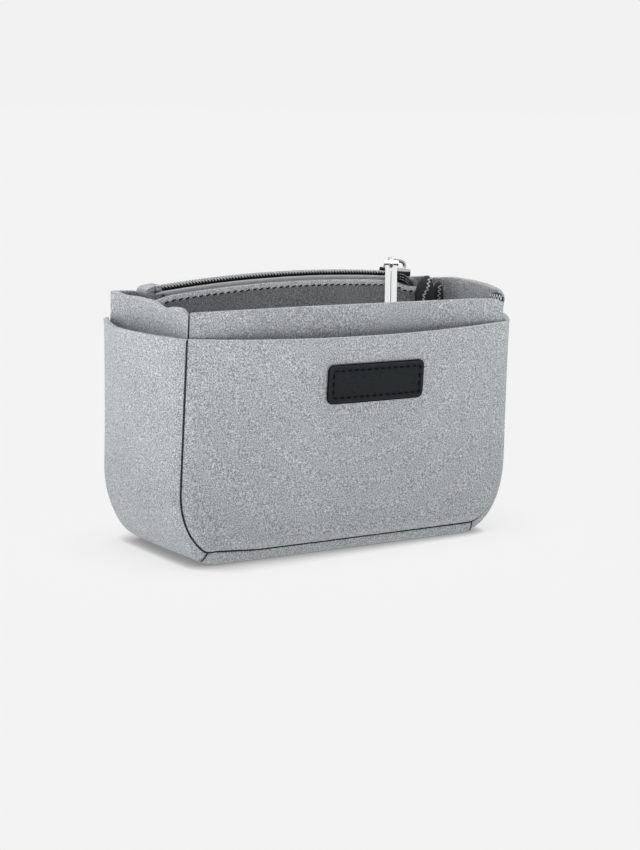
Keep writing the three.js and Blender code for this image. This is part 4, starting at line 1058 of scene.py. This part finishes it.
leaf_zigzag = []
for i in range(20):
    below = 0.8 + 0.8 * i
    along = 1.5 - 2.0 * smoothstep(i, 0, 12) + (0.6 + 0.3 * math.sin(2.3 * i)) * (-1) ** i
    corner = leaf_centre(1, below) + LEAF_ALONG * along + LEAF_OUT * 1.75 * min(1, 0.35 + i / 7)
    leaf_zigzag.append(right_back_point(*corner, LEAF_TOP, below))
zigzag("back_binding_zigzag", leaf_zigzag, (*-LEAF_OUT, 0), LEAF_ZIGZAG)

flap_zigzag = []
for i in range(12):
    below = 1.6 + 0.9 * i
    corner = flap_centre(below) + LEAF_ALONG * (0.4 + 0.6 * (-1) ** i) + LEAF_OUT * 1.1
    flap_zigzag.append(right_back_point(*corner, FLAP_TOP, below))
zigzag("back_flap_zigzag", flap_zigzag, (*-LEAF_OUT, 0), FLAP_ZIGZAG)

corner_zigzag = []
for i in range(12):
    below = 0.7 + 2.2 * (i % 2)
    off, depth = corner_centre(1, below) + DIAGONAL * (0.6 * i - 3.2) - ACROSS_CORNER * 1.25
    corner_zigzag.append(binding_point(-1, 1, off, depth, FRONT_BINDING_TOP, below / STRAIGHT, 0.0,
                                       bowed_wall(FRONT_PANEL_BOW), INNER_FACE))
zigzag("front_binding_zigzag", corner_zigzag, (-0.7, -0.7, 0), CORNER_ZIGZAG)


# Metal pieces keep their solids, with rounded edges

for name, width, finish in (("slider_body", 0.0004, slider_metal_painted_shade), ("slider_crown", 0.0003, crown_metal_painted_shade),
                            ("pull_link", 0.00018, metal), ("pull_bar", 0.00045, metal)):
    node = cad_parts[name]
    node.data.materials.clear()
    node.data.materials.append(finish)
    bevel(node, width)

# Shaded underside of the crown, right of the link
CROWN_BASE, CROWN_INNER_LENGTH, CROWN_INNER_RISE = 2.26, 4.85, 2.75
CROWN_LINE_ACROSS, CROWN_LINE_RADIUS = -0.42, 0.36
crown_angle = np.linspace(math.radians(98), math.radians(12), 16)
crown_run = np.sign(np.cos(crown_angle)) * np.abs(np.cos(crown_angle)) ** (2 / 3) * CROWN_INNER_LENGTH
crown_up = CROWN_BASE + np.sin(crown_angle) ** (2 / 3) * CROWN_INNER_RISE
crown_path = zip_point(along_at(SLIDER_X) + crown_run, CROWN_LINE_ACROSS, crown_up)
piece("slider_crown_underside", *tube(crown_path, CROWN_LINE_RADIUS), dark_metal, "metal", body="slider")

# Line of shadow at the bottom of the bar's front groove
BAR_PIVOT, BAR_YAW, BAR_TILT = np.array((49.56, 13.594, 113.95)), math.radians(-33), math.radians(18)
GROOVE_SPAN, GROOVE_LOW, GROOVE_HIGH = (3.5, 30.7), 0.46, 0.54
UPWARDS = np.array((0, 0, 1))
bar_side = np.array((math.cos(BAR_YAW), math.sin(BAR_YAW), 0))
bar_front = np.array((math.sin(BAR_YAW), -math.cos(BAR_YAW), 0))
bar_down = math.sin(BAR_TILT) * bar_front - math.cos(BAR_TILT) * UPWARDS
bar_normal = math.cos(BAR_TILT) * bar_front + math.sin(BAR_TILT) * UPWARDS
groove_rings = []
for reach in np.linspace(*GROOVE_SPAN, 14):
    half = 0.14 if 4 < reach < 30 else 0.1
    corners = [(-half, GROOVE_LOW), (half, GROOVE_LOW), (half, GROOVE_HIGH), (-half, GROOVE_HIGH)]
    groove_rings.append([BAR_PIVOT + bar_down * reach + bar_side * s + bar_normal * n for s, n in corners])
piece("pull_bar_groove_line", *loft(groove_rings), shaded_metal, "metal", body="pull_bar")


# Stage, light and camera

SEEN_RAYS, GLOSSY_RAYS = ("Is Camera Ray", "Is Transmission Ray"), ("Is Glossy Ray",)
BACKGROUND = srgb(242, 242, 242)
FLOOR_SEEN, FLOOR_SEEN_GLOW, FLOOR_GLOSSY = 0.11, 0.772, 0.6
FLOOR_BOUNCE, FLOOR_NEAR_GLOW, FLOOR_FAR_GLOW = 0.35, 0.6, 1.6
SKY_HORIZON, SKY_ZENITH = 0.28, 0.23
# Reach of the contact shadow in metres from the left to the right, and its tone by how open the place is
SHADOW_REACH = ((0, 0.004), (0.1, 0.006), (0.18, 0.015), (0.3, 0.013), (0.5, 0.01), (0.78, 0.007),
                (0.9, 0.004))
SHADOW_TONE = ((0.05, 0.24), (0.35, 0.5), (0.6, 0.72), (0.85, 0.93), (1, 1))


def finish_by_ray(tree, output, surface, glossy, seen):
    """Glossy rays and the rays that the picture is made of get shaders of their own."""
    for rays, shader in ((GLOSSY_RAYS, glossy), (SEEN_RAYS, seen)):
        paths = tree.nodes.new("ShaderNodeLightPath").outputs
        share = paths[rays[0]]
        for ray in rays[1:]:
            share = math_node(tree, "MAXIMUM", share, paths[ray])
        chosen = tree.nodes.new("ShaderNodeMixShader")
        for socket, value in zip(chosen.inputs, (share, surface, shader)):
            feed(tree, socket, value)
        surface = chosen.outputs[0]
    feed(tree, tree.nodes[output].inputs["Surface"], surface)


def emission(tree, strength):
    return add_node(tree, "ShaderNodeEmission", color=grey(1), strength=strength).outputs[0]


def floor_material():
    """Pale floor: it glows on the insert, and the picture shows it with a shadow where the insert stands."""
    material, tree, shader = new_material("floor", grey(FLOOR_BOUNCE), 1.0)
    place = place_of(tree)
    distance = add_node(tree, "ShaderNodeVectorMath", {"operation": "LENGTH"})
    feed(tree, distance.inputs[0], place)
    glow = grey_ramp(tree, distance.outputs["Value"], [(0.12, FLOOR_NEAR_GLOW), (0.3, FLOOR_FAR_GLOW)])
    feed(tree, shader.inputs["Emission Color"], grey(1))
    feed(tree, shader.inputs["Emission Strength"], glow)
    x = add_node(tree, "ShaderNodeSeparateXYZ", vector=place).outputs["X"]
    to_right = math_node(tree, "ADD", math_node(tree, "MULTIPLY", x, 5), 0.5)
    contact = add_node(tree, "ShaderNodeAmbientOcclusion", distance=grey_ramp(tree, to_right, SHADOW_REACH))
    tone = grey_ramp(tree, contact.outputs["AO"], SHADOW_TONE)
    seen = tree.nodes.new("ShaderNodeAddShader")
    feed(tree, seen.inputs[0], add_node(tree, "ShaderNodeBsdfDiffuse", color=grey(FLOOR_SEEN)).outputs[0])
    feed(tree, seen.inputs[1], emission(tree, math_node(tree, "MULTIPLY", tone, FLOOR_SEEN_GLOW)))
    glossy = emission(tree, FLOOR_GLOSSY)
    finish_by_ray(tree, "Material Output", shader.outputs[0], glossy, seen.outputs[0])
    return material


def light_world():
    """Dim sky, a brighter studio for glossy rays, and a plain background for the picture."""
    world = bpy.data.worlds.new("studio")
    bpy.context.scene.world = world
    world.use_nodes = True
    tree = world.node_tree
    way = add_node(tree, "ShaderNodeTexCoord").outputs["Generated"]
    height = add_node(tree, "ShaderNodeSeparateXYZ", vector=way).outputs["Z"]
    sky = tree.nodes["Background"]
    feed(tree, sky.inputs["Color"], grey_ramp(tree, height, [(0, SKY_HORIZON), (0.8, SKY_ZENITH)]))
    studio = grey_ramp(tree, height, [(0, 0.3), (0.06, 0.35), (0.16, 1), (0.9, 0.8)])
    glossy = add_node(tree, "ShaderNodeBackground", color=studio)
    seen = add_node(tree, "ShaderNodeBackground", color=BACKGROUND)
    finish_by_ray(tree, "World Output", sky.outputs[0], glossy.outputs[0], seen.outputs[0])


floor_mesh = bpy.data.meshes.new("floor")
floor_mesh.from_pydata([(-6, -6, 0), (6, -6, 0), (6, 6, 0), (-6, 6, 0)], [], [(0, 1, 2, 3)])
floor_mesh.materials.append(floor_material())
floor = add_object("floor", floor_mesh)
light_world()


def towards(azimuth, elevation):
    """Direction from the insert; azimuth 0 is its front, -90 its left."""
    turn, tilt = math.radians(azimuth), math.radians(elevation)
    return Vector((math.sin(turn) * math.cos(tilt), -math.cos(turn) * math.cos(tilt), math.sin(tilt)))


def soft_sun(name, azimuth, elevation, strength, spread):
    lamp = bpy.data.lights.new(name, "SUN")
    lamp.energy = strength
    lamp.angle = math.radians(spread)
    sun = add_object(name, lamp)
    sun.rotation_euler = towards(azimuth, elevation).to_track_quat("Z", "Y").to_euler()


soft_sun("key_left", -82, 7, 0.75, 26)
soft_sun("front_fill", -18, 3, 0.25, 26)
soft_sun("overhead", -30, 89, 2.6, 30)

CAMERA_AZIMUTH, CAMERA_ELEVATION, CAMERA_ROLL = -35.309, 10.128, math.radians(1.980)
CAMERA_DISTANCE, CAMERA_TARGET, FOCAL_PIXELS = 870.67, (4.74, 0, 47.49), 2043.7
IMAGE_HEIGHT, SENSOR = 850, 36

back = towards(CAMERA_AZIMUTH, CAMERA_ELEVATION)
right = Vector((0, 0, 1)).cross(back).normalized()
up = back.cross(right)
rolled_right = right * math.cos(CAMERA_ROLL) + up * math.sin(CAMERA_ROLL)
rolled_up = up * math.cos(CAMERA_ROLL) - right * math.sin(CAMERA_ROLL)
camera_data = bpy.data.cameras.new("camera")
camera_data.sensor_width = SENSOR
camera_data.lens = FOCAL_PIXELS * SENSOR / IMAGE_HEIGHT
camera_data.clip_start = 0.01
camera = add_object("camera", camera_data)
eye = Vector(to_row(CAMERA_TARGET)) + back * CAMERA_DISTANCE * MM
turned = Matrix((rolled_right, rolled_up, back)).transposed()
camera.matrix_world = Matrix.Translation(eye) @ turned.to_4x4()
bpy.context.scene.camera = camera
bpy.context.scene.view_settings.view_transform = "Standard"
